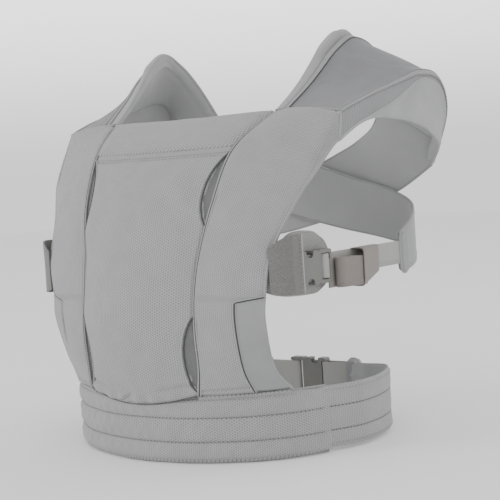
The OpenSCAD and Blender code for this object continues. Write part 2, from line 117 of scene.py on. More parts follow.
CROSSING_WIDTHS = np.array([90, 82, 75, 70, 66, 62, 58, 54, 50, 44])[:, None] / 1000
FOLD, FOLD_GAP = 6 / 7, 0.012
WEDGE_SIDE, WEDGE_TOP, WEDGE_SLOPE = 0.6, 0.40, 0.03
BAND_BULGE, STRAP_CROWN, TOP_SHARE = 0.005, 0.0025, 0.8
UPPER_INSET, LOWER_INSET, INSET_W = (0.655, 0.845), (0.03, 0.34), 0.011
WAIST_W, WAIST_FRONT, WAIST_BACK = 0.180, 0.162, 0.140
PAD_ANGLE, SEAMS_Z = 68, (0.022, 0.0465)
PAD_FOOT, PAD_TOP, PAD_IN = 0.0050, 0.0650, 0.0074
SIDE_MOUTH = np.array([0.164, -0.066 - SET_BACK, 0.189])
SIDE_TURN = math.radians(5)
WAIST_MOUTH = np.array([0.004, 0.138 - SET_BACK, 0.035])
TAB_X = 0.148


def along(p, t):
    """A smooth curve through the points p, read at the shares t of it."""
    p, t = np.asarray(p, float), np.asarray(t, float)
    last = len(p) - 1
    k = np.clip(np.floor(t * last).astype(int), 0, last - 1)
    u = (t * last - k)[..., None]
    a, b, c, d = p[np.maximum(k - 1, 0)], p[k], p[k + 1], p[np.minimum(k + 2, last)]
    return 0.5 * (2 * b + (c - a) * u + (2 * a - 5 * b + 4 * c - d) * u ** 2
                  + (3 * b - a - 3 * c + d) * u ** 3)


def smooth(x):
    """An even step from 0 to 1, flat at both ends."""
    x = np.clip(x, 0, 1)
    return x * x * (3 - 2 * x)


def dome(x):
    """A quarter circle: 0 at an edge, 1 from x = 1 inwards."""
    return np.sqrt(np.clip(1 - (1 - np.clip(x, 0, 1)) ** 2, 0, 1))


def crossed(rows, cols):
    """The row value and the column value of each point of a grid."""
    return np.meshgrid(rows, cols, indexing="ij")


def pair(a, b):
    """Two arrays of one shape; either may be a single number."""
    return np.broadcast_arrays(np.asarray(a, float), np.asarray(b, float))


def inset_at(t, span):
    """How wide a mesh inset is at height t; 0 outside its span."""
    x = np.clip((t - span[0]) / (span[1] - span[0]), 0, 1)
    return INSET_W * np.sin(np.pi * x) ** 0.8


def panel_at(t, q):
    """The panel at height t, with q from -1 at one seam to 1 at the other."""
    t, q = pair(t, q)
    m, s, w = along(MIDDLE, t), along(SEAM, t), (q * q)[..., None]
    p = m + (s - m) * w
    p[..., 0] = s[..., 0] * q
    return p


def band_at(t, s):
    """The side band at height t, with s from 0 at the panel to 1 at the arm."""
    t, s = pair(t, s)
    a, b = along(SEAM, t), along(EDGE, t)
    up = along(SEAM, np.minimum(t + 0.02, 1)) - along(SEAM, np.maximum(t - 0.02, 0))
    out = unit(np.cross(b - a, up))
    return a + (b - a) * s[..., None] + out * (BAND_BULGE * 4 * s * (1 - s))[..., None]


def strap_at(t, s):
    """The shoulder strap at t along it, with s from 0 at the neck to 1 at the arm."""
    t, s = pair(t, s)
    n, r, a = along(NECK, t), along(RIDGE, t), along(ARM, t)
    up = along(NECK, np.minimum(t + 0.03, 1)) - along(NECK, np.maximum(t - 0.03, 0))
    out = unit(np.cross(r - n, up))
    top = np.minimum(s / TOP_SHARE, 1)[..., None]
    low = np.clip((s - TOP_SHARE) / (1 - TOP_SHARE), 0, 1)[..., None]
    return np.where(s[..., None] <= TOP_SHARE, n + (r - n) * top + out * STRAP_CROWN * 4 * top * (1 - top),
                    r + (a - r) * low)


def waist_at(angle, z, d=0.0):
    """The waistband at an angle from the middle of the front, d inside its outline."""
    a = np.radians(angle)
    depth = np.where(np.abs(angle) <= 90, WAIST_FRONT, WAIST_BACK)
    return np.stack([(WAIST_W - d) * np.sin(a), -(depth - d) * np.cos(a) - SET_BACK, z + 0 * a], axis=-1)


RETURN_FROM, BAND_TOP, BAND_FOOT = 0.80, 0.992, -0.016


def smooth_return(t):
    """How much of the shoulder's side the band's edge has turned in to, towards its top."""
    return np.clip((t - RETURN_FROM) / (1 - RETURN_FROM), 0, 1) ** 1.5


def grid(rows, cols, f):
    """Points of f on a grid of rows and columns."""
    return f(*crossed(rows, cols))


def mirrored(g):
    """The same grid on the other side, still facing out."""
    g = g[:, ::-1].copy()
    g[..., 0] *= -1
    return g


def turned(a, k):
    """On the right, the columns are turned round, as a mirrored grid's are."""
    return a if k > 0 else a[:, ::-1].copy()


def wave(u, v, seed, size, terms=5):
    """Gentle unevenness of cloth: a fixed sum of sines, about -1 to 1."""
    rng = np.random.RandomState(seed)
    total = np.zeros(np.broadcast(u, v).shape)
    for _ in range(terms):
        angle, phase = rng.uniform(0, np.pi), rng.uniform(0, 2 * np.pi)
        k = 2 * np.pi / (size * rng.uniform(0.7, 1.6))
        total = total + np.sin(k * (u * np.cos(angle) + v * np.sin(angle)) + phase)
    return total / terms


# ---------------------------------------------------------------- materials
class Nodes:
    """Small helper for writing node materials."""

    def __init__(self, name):
        self.mat = bpy.data.materials.new(name)
        self.mat.use_nodes = True
        self.tree = self.mat.node_tree
        self.tree.nodes.clear()
        self.out = self.new("ShaderNodeOutputMaterial")
        self.bsdf = self.new("ShaderNodeBsdfPrincipled")
        self.link(self.bsdf.outputs[0], self.out.inputs[0])

    def new(self, kind, **props):
        n = self.tree.nodes.new(kind)
        for k, v in props.items():
            setattr(n, k, v)
        return n

    def link(self, a, b):
        self.tree.links.new(a, b)

    def put(self, socket, value):
        if isinstance(value, bpy.types.NodeSocket):
            self.link(value, socket)
        else:
            socket.default_value = value

    def math(self, op, a, b=0.0, c=0.0, clamp=False):
        n = self.new("ShaderNodeMath", operation=op, use_clamp=clamp)
        for i, v in enumerate((a, b, c)):
            self.put(n.inputs[i], v)
        return n.outputs[0]

    def uv(self):
        n = self.new("ShaderNodeTexCoord")
        x = self.new("ShaderNodeSeparateXYZ")
        self.link(n.outputs["UV"], x.inputs[0])
        return n.outputs["UV"], x.outputs[0], x.outputs[1]

    def spot(self):
        return self.new("ShaderNodeTexCoord").outputs["Object"]

    def noise(self, at, scale, detail=2.0, rough=0.5):
        n = self.new("ShaderNodeTexNoise")
        self.link(at, n.inputs["Vector"])
        n.inputs["Scale"].default_value = scale
        n.inputs["Detail"].default_value = detail
        n.inputs["Roughness"].default_value = rough
        return n.outputs[0]

    def cells(self, at, scale):
        n = self.new("ShaderNodeTexVoronoi")
        self.link(at, n.inputs["Vector"])
        n.inputs["Scale"].default_value = scale
        return n.outputs["Distance"]

    def span(self, v, a, b, c=0.0, d=1.0):
        n = self.new("ShaderNodeMapRange")
        self.put(n.inputs[0], v)
        for i, x in enumerate((a, b, c, d)):
            n.inputs[i + 1].default_value = x
        return n.outputs[0]

    def blend(self, f, a, b):
        n = self.new("ShaderNodeMix", data_type="RGBA")
        self.put(n.inputs[0], f)
        for i, v in ((6, a), (7, b)):
            self.put(n.inputs[i], v if isinstance(v, bpy.types.NodeSocket) else (*v, 1))
        return n.outputs[2]

    def bump(self, h, distance, strength=1.0, before=None):
        n = self.new("ShaderNodeBump")
        n.inputs["Strength"].default_value = strength
        n.inputs["Distance"].default_value = distance
        self.link(h, n.inputs["Height"])
        if before is not None:
            self.link(before, n.inputs["Normal"])
        return n.outputs[0]

    def finish(self, color, rough, normal=None, sheen=0.0, specular=0.5):
        b = self.bsdf
        self.put(b.inputs["Base Color"], color)
        self.put(b.inputs["Roughness"], rough)
        if normal is not None:
            self.link(normal, b.inputs["Normal"])
        b.inputs["Specular IOR Level"].default_value = specular
        b.inputs["Sheen Weight"].default_value = sheen
        b.inputs["Sheen Roughness"].default_value = 0.45
        return self.mat


def shade(c, k):
    """The colour, k times as bright."""
    return tuple(x * k for x in c)


def mottled(n, color, amount=0.05, size=45):
    """The colour with soft, wide unevenness, as dyed cloth has."""
    patches = n.span(n.noise(n.spot(), size, 3), 0.3, 0.7)
    return n.blend(patches, shade(color, 1 - amount), shade(color, 1 + amount))


def ribs(n, coord, pitch):
    return n.span(n.math("SINE", n.math("MULTIPLY", coord, 2 * math.pi / pitch)), -1, 1)


def honeycomb_knit(name, color, pitch=0.0024, depth=0.0004):
    n = Nodes(name)
    _, u, v = n.uv()
    k = 2 * math.pi / pitch
    uu, half, rise = n.math("MULTIPLY", u, k), n.math("MULTIPLY", u, k / 2), n.math("MULTIPLY", v, k * 0.866)
    h = n.math("ADD", n.math("COSINE", uu), n.math("ADD", n.math("COSINE", n.math("ADD", half, rise)),
                                                   n.math("COSINE", n.math("SUBTRACT", half, rise))))
    dimple = n.span(h, -0.8, 2.2)
    fine = n.noise(n.spot(), 1500, 2)
    base = n.blend(dimple, mottled(n, color, 0.035), mottled(n, shade(color, 0.60), 0.06))
    base = n.blend(n.span(fine, 0.35, 0.7, 0, 0.14), base, shade(color, 0.72))
    normal = n.bump(n.math("SUBTRACT", 1.0, dimple), depth, 0.9, n.bump(fine, 0.00018, 0.6))
    return n.finish(base, 0.92, normal, 0.25, 0.25)


def jersey(name, color, pitch=0.0011, depth=0.00012, across=False):
    n = Nodes(name)
    _, u, v = n.uv()
    line = ribs(n, v if across else u, pitch)
    fine = n.noise(n.spot(), 1300, 3, 0.6)
    base = n.blend(n.math("MULTIPLY", line, 0.35), mottled(n, color, 0.04), shade(color, 0.82))
    base = n.blend(n.span(fine, 0.4, 0.7, 0, 0.22), base, shade(color, 0.70))
    return n.finish(base, 0.9, n.bump(line, depth, 0.8, n.bump(fine, 0.00015, 0.7)), 0.3, 0.25)


def ribbed(name, color, pitch=0.0030):
    n = Nodes(name)
    _, u, v = n.uv()
    line = ribs(n, v, pitch)
    fine = n.noise(n.spot(), 1100, 3)
    base = n.blend(line, shade(color, 0.80), mottled(n, color, 0.04))
    base = n.blend(n.span(fine, 0.4, 0.7, 0, 0.18), base, shade(color, 0.74))
    return n.finish(base, 0.92, n.bump(line, 0.0006, 0.9, n.bump(fine, 0.0002, 0.6)), 0.25, 0.25)


def spacer_mesh(name, color, hole=0.0017, dark=0.42):
    n = Nodes(name)
    uv, u, v = n.uv()
    k = 2 * math.pi / hole
    a = n.math("MULTIPLY", n.math("SINE", n.math("MULTIPLY", u, k)), n.math("SINE", n.math("MULTIPLY", v, k)))
    open_ = n.span(a, 0.05, 0.7)
    fleck = n.noise(uv, 900, 2, 0.7)
    base = n.blend(open_, mottled(n, color, 0.06), shade(color, dark))
    base = n.blend(n.span(fleck, 0.45, 0.62, 0, 0.45), base, shade(color, 0.60))
    return n.finish(base, 0.88, n.bump(n.math("SUBTRACT", 1.0, open_), 0.0004, 0.9), 0.15, 0.3)


def speckled(name, color):
    n = Nodes(name)
    at = n.spot()
    spot = n.cells(at, 620)
    fleck = n.noise(at, 950, 3, 0.75)
    base = n.blend(n.span(fleck, 0.44, 0.60, 0, 0.85), shade(color, 1.12), shade(color, 0.74))
    base = n.blend(n.span(spot, 0.12, 0.42, 0.40, 0), base, shade(color, 0.50))
    return n.finish(base, 0.93, n.bump(fleck, 0.0005, 0.8), 0.3, 0.2)


def webbing_weave(name, color, pitch=0.0012, rough=0.62):
    n = Nodes(name)
    _, u, v = n.uv()
    k = 2 * math.pi / pitch
    slant = n.math("ADD", n.math("MULTIPLY", u, k), n.math("MULTIPLY", v, k * 1.1))
    twill = n.span(n.math("SINE", slant), -1, 1)
    thread = ribs(n, v, pitch * 0.55)
    h = n.math("ADD", n.math("MULTIPLY", twill, 0.7), n.math("MULTIPLY", thread, 0.3))
    base = n.blend(h, shade(color, 0.86), mottled(n, color, 0.03))
    fuzz = n.bump(n.noise(n.spot(), 900), 0.0001, 0.5)
    return n.finish(base, rough, n.bump(h, 0.00018, 0.7, fuzz), 0.3, 0.4)


def lining_cloth(name, color):
    n = Nodes(name)
    _, u, v = n.uv()
    h = n.math("MULTIPLY", ribs(n, u, 0.0014), ribs(n, v, 0.0014))
    base = n.blend(h, mottled(n, color, 0.03), shade(color, 0.86))
    return n.finish(base, 0.93, n.bump(h, 0.0002, 0.6), 0.25, 0.2)


def moulded(name, color):
    n = Nodes(name)
    grain = n.noise(n.spot(), 2600, 3, 0.6)
    base = n.blend(n.span(n.noise(n.spot(), 60, 2), 0.3, 0.7), shade(color, 0.97), shade(color, 1.03))
    rough = n.span(grain, 0.3, 0.7, 0.34, 0.46)
    return n.finish(base, rough, n.bump(grain, 0.00006, 0.5), 0, 0.5)


GREY = (0.374, 0.374, 0.377)
M = {
    "knit": honeycomb_knit("honeycomb_knit", GREY),
    "band_knit": honeycomb_knit("band_knit", shade(GREY, 1.02), 0.0021, 0.00035),
    "smooth": jersey("smooth_jersey", (0.317, 0.319, 0.325)),
    "light": jersey("light_jersey", (0.368, 0.369, 0.374), 0.0014, 0.0002, True),
    "cool": jersey("cool_jersey", (0.231, 0.232, 0.241), 0.0016, 0.0002),
    "ribbed": ribbed("ribbed_facing", (0.317, 0.319, 0.328)),
    "mesh": spacer_mesh("dark_mesh", (0.248, 0.251, 0.254)),
    "speckle": speckled("speckled_fleece", (0.300, 0.299, 0.291)),
    "sleeve": speckled("speckled_sleeve", (0.171, 0.169, 0.163)),
    "lining": lining_cloth("lining_cloth", (0.387, 0.388, 0.392)),
    "piping": jersey("piping_cloth", (0.368, 0.369, 0.374), 0.0012, 0.00015, True),
    # seam: near-black, for thin tubes laid in seams and beside folds as painted shadow
    "seam": jersey("painted_seam_shadow", (0.069, 0.069, 0.072), 0.0009, 0.0001),
    # groove: dark grey, for thin tubes laid in quilting lines and under the panel's foot as painted shade
    "groove": jersey("painted_groove_shadow", (0.138, 0.141, 0.143), 0.0009, 0.0001),
    "thread": webbing_weave("thread", (0.286, 0.287, 0.291), 0.0007),
    "webbing": webbing_weave("grey_webbing", (0.377, 0.376, 0.357), 0.0011),
    "taupe": webbing_weave("taupe_elastic", (0.226, 0.197, 0.182), 0.0016, 0.75),
    "plastic": moulded("satin_plastic", (0.162, 0.162, 0.151)),
}


# ---------------------------------------------------------------- meshes
def make(name, verts, faces, mats, uv=None, zones=None, flat=False):
    mesh = bpy.data.meshes.new(name)
    mesh.from_pydata(np.asarray(verts, float).tolist(), [], [list(map(int, f)) for f in faces])
    for m in mats:
        mesh.materials.append(M[m])
    if zones is not None:
        mesh.polygons.foreach_set("material_index", np.asarray(zones, dtype=np.int32))
    if uv is not None:
        layer = mesh.uv_layers.new(name="cloth")
        idx = np.empty(len(mesh.loops), dtype=np.int32)
        mesh.loops.foreach_get("vertex_index", idx)
        layer.data.foreach_set("uv", np.asarray(uv, dtype=np.float32)[idx].ravel())
    mesh.polygons.foreach_set("use_smooth", np.full(len(mesh.polygons), not flat))
    bm = bmesh.new()
    bm.from_mesh(mesh)
    bmesh.ops.recalc_face_normals(bm, faces=bm.faces)
    bm.to_mesh(mesh)
    bm.free()
    mesh.update()
    obj = bpy.data.objects.new(name, mesh)
    bpy.context.scene.collection.objects.link(obj)
    return obj


def normals(g):
    """Outward directions of a grid of points."""
    return unit(np.cross(np.gradient(g, axis=1), np.gradient(g, axis=0)))


def arcs(g):
    """Lengths along the cloth: u along each row from its middle, v up the middle column."""
    d = np.linalg.norm(np.diff(g, axis=1), axis=2)
    u = np.concatenate([np.zeros((len(g), 1)), np.cumsum(d, axis=1)], axis=1)
    u = u - u[:, [g.shape[1] // 2]]
    mid = g[:, g.shape[1] // 2]
    v = np.concatenate([[0], np.cumsum(np.linalg.norm(np.diff(mid, axis=0), axis=1))])
    return u, np.repeat(v[:, None], g.shape[1], axis=1)


def border(rows, cols):
    """The grid's outer points, in order round it."""
    return ([(0, j) for j in range(cols)] + [(i, cols - 1) for i in range(1, rows)]
            + [(rows - 1, j) for j in range(cols - 2, -1, -1)] + [(i, 0) for i in range(rows - 2, 0, -1)])


def cloth(name, g, thick, mats, out=0.0, inner=None, zone=None, rim=4):
    """A closed piece of cloth round the grid g, with round edges. thick and out may be arrays.
    zone gives each row-column's material; inner is the material of the back."""
    rows, cols = g.shape[:2]
    n = normals(g)
    thick = np.broadcast_to(np.asarray(thick, float), (rows, cols))
    mid = g + n * np.broadcast_to(np.asarray(out, float), (rows, cols))[..., None]
    half = thick[..., None] / 2
    loop = border(rows, cols)
    bi, bj = np.array([p[0] for p in loop]), np.array([p[1] for p in loop])
    away = np.zeros((len(loop), 3))
    for k, (i, j) in enumerate(loop):
        for here, end, inner_point in ((j, 0, (i, 1)), (j, cols - 1, (i, -2)),
                                       (i, 0, (1, j)), (i, rows - 1, (-2, j))):
            if here == end:
                away[k] += unit(g[i, j] - g[inner_point])
    away = unit(away)
    u, v = arcs(g)
    flat_uv = np.stack([u, v], axis=-1).reshape(-1, 2)
    verts = [(mid + n * half).reshape(-1, 3), (mid - n * half).reshape(-1, 3)]
    uvs = [flat_uv, flat_uv]
    total = rows * cols
    rings = [bi * cols + bj]
    base = 2 * total
    for k in range(1, rim):
        a = math.pi * k / rim
        verts.append(mid[bi, bj] + half[bi, bj] * (n[bi, bj] * math.cos(a) + away * math.sin(a)))
        uvs.append(flat_uv[bi * cols + bj] + np.array([half[bi[0], bj[0]][0] * a * 0.7, 0]))
        rings.append(base + np.arange(len(loop)))
        base += len(loop)
    rings.append(total + bi * cols + bj)
    a = (np.arange(rows - 1)[:, None] * cols + np.arange(cols - 1)[None, :]).ravel()
    faces = [np.stack([a, a + 1, a + cols + 1, a + cols], axis=1),
             np.stack([total + a, total + a + cols, total + a + cols + 1, total + a + 1], axis=1)]
    for r0, r1 in zip(rings[:-1], rings[1:]):
        faces.append(np.stack([r0, r1, np.roll(r1, -1), np.roll(r0, -1)], axis=1))
    z = np.zeros(len(a), int) if zone is None else zone[:-1, :-1].ravel()
    back = np.full(len(a), len(mats) - 1 if inner else 0) if inner else z
    edge = np.zeros(len(loop) * rim, int)
    if zone is not None:
        edge = np.tile(zone[np.minimum(bi, rows - 2), np.minimum(bj, cols - 2)], rim)
    return make(name, np.concatenate(verts), np.concatenate(faces), mats, np.concatenate(uvs),
                np.concatenate([z, back, edge]))


def frames(path, normal=None):
    """Direction, normal and side direction at each point of a path."""
    d = unit(np.gradient(path, axis=0))
    if normal is None:
        ref = np.array([0.3, 0.2, 0.93])
        n = [unit(np.cross(np.cross(d[0], ref), d[0]))]
        for i in range(1, len(path)):
            n.append(unit(n[-1] - d[i] * np.dot(n[-1], d[i])))
        normal = np.array(n)
    else:
        normal = unit(normal - d * np.sum(normal * d, axis=1, keepdims=True))
    return d, normal, np.cross(d, normal)


def even(path, step):
    """The path resampled to even steps."""
    seg = np.linalg.norm(np.diff(path, axis=0), axis=1)
    s = np.concatenate([[0], np.cumsum(seg)])
    n = max(2, int(round(s[-1] / step)))
    x = np.linspace(0, s[-1], n + 1)
    return np.stack([np.interp(x, s, path[:, k]) for k in range(3)], axis=1), x / s[-1]


def profile_sweep(name, path, normal, shape, mat):
    """Sweeps a closed profile (width, height) along a path, with a low point over each end."""
    shape = np.asarray(shape, float)
    d, n, b = frames(path, normal)
    k = len(shape)
    verts = (path[:, None] + b[:, None] * shape[None, :, :1] + n[:, None] * shape[None, :, 1:]).reshape(-1, 3)
    faces = [(r + j, r + (j + 1) % k, r + k + (j + 1) % k, r + k + j)
             for r in range(0, (len(path) - 1) * k, k) for j in range(k)]
    seg = np.concatenate([[0], np.cumsum(np.linalg.norm(np.diff(path, axis=0), axis=1))])
    around = np.concatenate([[0], np.cumsum(np.linalg.norm(np.diff(shape, axis=0), axis=1))])
    uv = np.stack([np.tile(around, len(path)), np.repeat(seg, k)], axis=1)
    point = 0.3 * np.abs(shape[:, 1]).max()
    verts = np.concatenate([verts, [path[0] - d[0] * point, path[-1] + d[-1] * point]])
    uv = np.concatenate([uv, [[0, 0], [0, seg[-1]]]])
    a, z = len(verts) - 2, len(verts) - 1
    last = (len(path) - 1) * k
    faces += [((j + 1) % k, j, a) for j in range(k)]
    faces += [(last + j, last + (j + 1) % k, z) for j in range(k)]
    return make(name, verts, faces, [mat], uv)


def circle(r, sides):
    a = np.linspace(0, 2 * np.pi, sides, endpoint=False)
    return np.stack([r * np.cos(a), r * np.sin(a)], axis=1)


def spread(values, x):
    """A list of vectors read at the shares x of its length."""
    return np.stack([np.interp(x, np.linspace(0, 1, len(values)), values[:, c]) for c in range(3)], axis=1)


def tube(name, path, r, mat="piping", sides=8, step=0.004):
    """A round tube along a path."""
    return profile_sweep(name, even(path, step)[0], None, circle(r, sides), mat)


def strip_shape(w, t, n=3):
    """Webbing's section: a flat strip with round edges."""
    r = t / 2
    turn = np.linspace(-math.pi / 2, math.pi / 2, 2 * n + 1)
    right = [(w / 2 - r + r * math.cos(a), r * math.sin(a)) for a in turn]
    turn = np.linspace(math.pi / 2, 1.5 * math.pi, 2 * n + 1)
    left = [(-w / 2 + r + r * math.cos(a), r * math.sin(a)) for a in turn]
    span = max(2, int(w / 0.004))
    bottom = [(x, -r) for x in np.linspace(-w / 2 + r, w / 2 - r, span)[1:-1]]
    top = [(x, r) for x in np.linspace(w / 2 - r, -w / 2 + r, span)[1:-1]]
    return right + top + left + bottom


def stitches(name, path, normal, mat="thread", length=0.0024, gap=0.0013, r=0.00042, lift=0.0):
    """A row of separate stitches lying on the cloth."""
    p, x = even(path, 0.001)
    n = spread(np.asarray(normal), x)
    total = np.sum(np.linalg.norm(np.diff(p, axis=0), axis=1))
    count = max(1, int(total / (length + gap)))
    verts, faces, uv = [], [], []
    d, n, b = frames(p, n)
    for k in range(count):
        c = (k + 0.5) / count * (len(p) - 1)
        i = int(c)
        f = c - i
        o = p[i] * (1 - f) + p[min(i + 1, len(p) - 1)] * f + n[i] * lift
        base = len(verts)
        for s, h in ((-0.5, 0.15), (-0.32, 0.85), (0, 1.0), (0.32, 0.85), (0.5, 0.15)):
            for a in np.linspace(0, 2 * np.pi, 6, endpoint=False):
                rim = (b[i] * math.cos(a) + n[i] * (math.sin(a) * 0.8 + 0.1)) * r * h
                verts.append(o + d[i] * length * s + rim)
                uv.append((a * r, length * s))
        for q in range(4):
            for j in range(6):
                a0, a1 = base + q * 6 + j, base + q * 6 + (j + 1) % 6
                faces.append((a0, a1, a1 + 6, a0 + 6))
        faces.append([base + j for j in range(5, -1, -1)])
        faces.append([base + 24 + j for j in range(6)])
    return make(name, verts, faces, [mat], uv)


def put(obj, body, slot, *nodes):
    """Rides obj on its body and hides the CAD nodes it stands in for; slot is not used."""
    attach(obj, body)
    if nodes:
        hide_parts(*nodes)
    return obj


def span_joint(obj):
    """Bakes obj's placement into its mesh."""
    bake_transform(obj)


def trim(name, path, r, mat, slot="jersey", step=0.004, sides=8):
    """A thin round piping sewn on the carrier, or a dark tube on it painted as shade in a seam."""
    return put(tube(name, path, r, mat, sides, step), "carrier", slot)


def sheet(obj):
    """Passes obj through unchanged."""
    return obj


def sewn(name, g, thick, mats, slot, *nodes, **more):
    """A piece of cloth sewn on the carrier."""
    return sheet(put(cloth(name, g, thick, mats, **more), "carrier", slot, *nodes))


def inflate(obj, free, pressure, cap, last_frame=20, both=False):
    """Cloth simulation of a padded piece: pressure from inside, held where its face isn't free.
    No point moves more than cap. both frees the back's vertices too."""
    pinned = np.ones(len(obj.data.vertices), bool)
    pinned[:free.size][free.ravel()] = False
    if both:
        pinned[free.size:2 * free.size][free.ravel()] = False
    before = np.array([v.co for v in obj.data.vertices], float)
    group = obj.vertex_groups.new(name="held")
    group.add([int(i) for i in np.nonzero(pinned)[0]], 1.0, "REPLACE")
    m = obj.modifiers.new("cloth", "CLOTH")
    c = m.settings
    c.quality = 5
    c.mass = 0.3
    c.tension_stiffness = c.compression_stiffness = 12
    c.shear_stiffness = 6
    c.bending_stiffness = 0.4
    c.use_pressure = True
    c.uniform_pressure_force = pressure
    c.effector_weights.gravity = 0
    c.vertex_group_mass = "held"
    m.collision_settings.use_collision = False
    m.point_cache.frame_start, m.point_cache.frame_end = 1, last_frame
    scene = bpy.context.scene
    for f in range(1, last_frame + 1):
        scene.frame_set(f)
    deps = bpy.context.evaluated_depsgraph_get()
    e = obj.evaluated_get(deps)
    after = np.array([v.co for v in e.to_mesh().vertices], float)
    e.to_mesh_clear()
    obj.modifiers.remove(m)
    obj.vertex_groups.remove(group)
    d = after - before
    far = np.linalg.norm(d, axis=1, keepdims=True)
    d = np.where(far > 1e-9, d / np.maximum(far, 1e-9) * np.tanh(far / cap) * cap, 0)
    obj.data.vertices.foreach_set("co", (before + d).astype(np.float32).ravel())
    obj.data.update()
    scene.frame_set(1)


SIDES = (("left", 1), ("right", -1))


def side(g, k):
    """The grid on the left for k = 1, or mirrored for k = -1."""
    return g if k > 0 else mirrored(g)


def flip(path, k):
    """The path on the left for k = 1, or mirrored for k = -1."""
    p = np.array(path, float)
    p[..., 0] *= k
    return p


# ---------------------------------------------------------------- seat panel
def rows_with_ends(a, b, n, soft=0.002):
    """Even values from a to b with closer ones at both ends, for round edges."""
    inner = np.linspace(a + soft, b - soft, n)
    return np.concatenate([[a], inner, [b]])


PANEL_TOP = FOLD - FOLD_GAP
t_rows = rows_with_ends(-0.012, PANEL_TOP + 0.004, 190)
q_cols = np.linspace(-1, 1, 150)


def panel_reach(t):
    """How much of the panel's half width its cloth covers beside the insets."""
    return 1 - (inset_at(t, UPPER_INSET) + inset_at(t, LOWER_INSET) + 0.0002) / along(SEAM, t)[..., 0]


def tuck(t):
    """How far the cloth turns in at the panel's and bands' lower edge."""
    return -0.0045 * smooth((0.022 - t) / 0.034)


def panel_grid(rows, cols, reach=True):
    """A grid on the panel, between the insets or over its whole width."""
    t, q = crossed(rows, cols)
    return panel_at(t, q * (panel_reach(t) if reach else 1))


g = panel_grid(t_rows, q_cols)
T, Q = crossed(t_rows, q_cols)
X, Z = g[..., 0], g[..., 2]
relief = 0.0010 * wave(X, Z, 3, 0.11) + 0.0005 * wave(X, Z, 4, 0.045)
# small gathers where the panel is sewn to the waistband, and pulls from the insets' ends
gather = smooth((0.10 - T) / 0.09)
relief += 0.0014 * gather * np.sin(X * 2 * np.pi / 0.023 + 1.5 * np.sin(X * 37)) * smooth((T + 0.012) / 0.03)
crease = np.exp(-((X + 0.012 - 0.35 * (T - 0.03)) / 0.0035) ** 2)
relief += -0.0030 * crease * smooth((0.075 - T) / 0.05) * smooth((T + 0.01) / 0.02)
relief += -0.0022 * np.exp(-((T - 0.055 - 0.02 * np.abs(Q)) / 0.011) ** 2) * smooth((np.abs(Q) - 0.25) / 0.35)
# the cloth dips to its side seams and at the head rest's seam
relief += -0.0024 * smooth((np.abs(Q) - 0.955) / 0.045) - 0.0016 * smooth((T - PANEL_TOP + 0.012) / 0.012)
relief += tuck(T)
sewn("seat_panel", g, 0.003, ["knit", "lining"], "knit", "front_panel", out=relief, inner=True)

gl = panel_grid(np.linspace(0.02, FOLD - 0.03, 60), np.linspace(-0.97, 0.97, 60), False)
sewn("seat_lining", gl, 0.0014, ["lining"], "lining", "panel_lining", out=-0.0042)

# seam at the foot of the panel, over the waistband; below it a dark tube as painted shadow where the panel
# meets the waistband
q = np.linspace(-1, 1, 90)
foot = panel_at(0.012, q)
n_foot = unit(np.stack([0.35 * q, -np.ones_like(q), 0 * q], axis=1))
put(stitches("foot_stitches", foot, n_foot, lift=-0.0006), "carrier", "knit")
edge_line = panel_at(-0.0125, q * 0.995) - n_foot * 0.0022
trim("foot_seam_shadow", edge_line, 0.0010, "groove", "knit", step=0.003)

# ---------------------------------------------------------------- mesh insets beside the panel
for name, k in SIDES:
    for tag, span in (("upper", UPPER_INSET), ("lower", LOWER_INSET)):
        rows = np.linspace(span[0] + 0.002, span[1] - 0.002, 60)
        t, s = crossed(rows, np.linspace(0, 1, 14))
        width = along(SEAM, t)[..., 0]
        a = 1 - (inset_at(t, UPPER_INSET) + inset_at(t, LOWER_INSET) + 0.0014) / width
        b = 1 + 0.0012 / width
        gi = panel_at(t, a + (b - a) * s)
        sag = -0.0012 - 0.0016 * np.sin(np.pi * s) * np.sin(np.pi * (t - span[0]) / (span[1] - span[0]))
        sag = sag + 0.0006 * wave(gi[..., 0] * 2, gi[..., 2], 20 + k, 0.02)
        gi = side(gi, k)
        sewn(f"mesh_inset_{tag}_{name}.cloth", gi, 0.0012, ["mesh"],
             "mesh_dark", f"mesh_inset_{tag}_{name}", out=turned(sag, k))
        # folded edge of the panel over the mesh; the near-black tube beside it is painted shadow under the
        # fold
        tt = np.linspace(span[0] - 0.002, span[1] + 0.002, 80)
        qq = 1 - (inset_at(tt, span) + 0.0006) / along(SEAM, tt)[:, 0]
        p = panel_at(tt, qq)
        p[:, 1] -= 0.0010
        trim(f"inset_edge_shadow_{tag}_{name}", flip(p, k), 0.0008, "seam", "mesh_dark", step=0.003)
        p2 = panel_at(tt, qq - 0.0026 / along(SEAM, tt)[:, 0])
        p2[:, 1] -= 0.0009
        trim(f"inset_fold_{tag}_{name}", flip(p2, k), 0.0011, "knit", "knit", step=0.003)

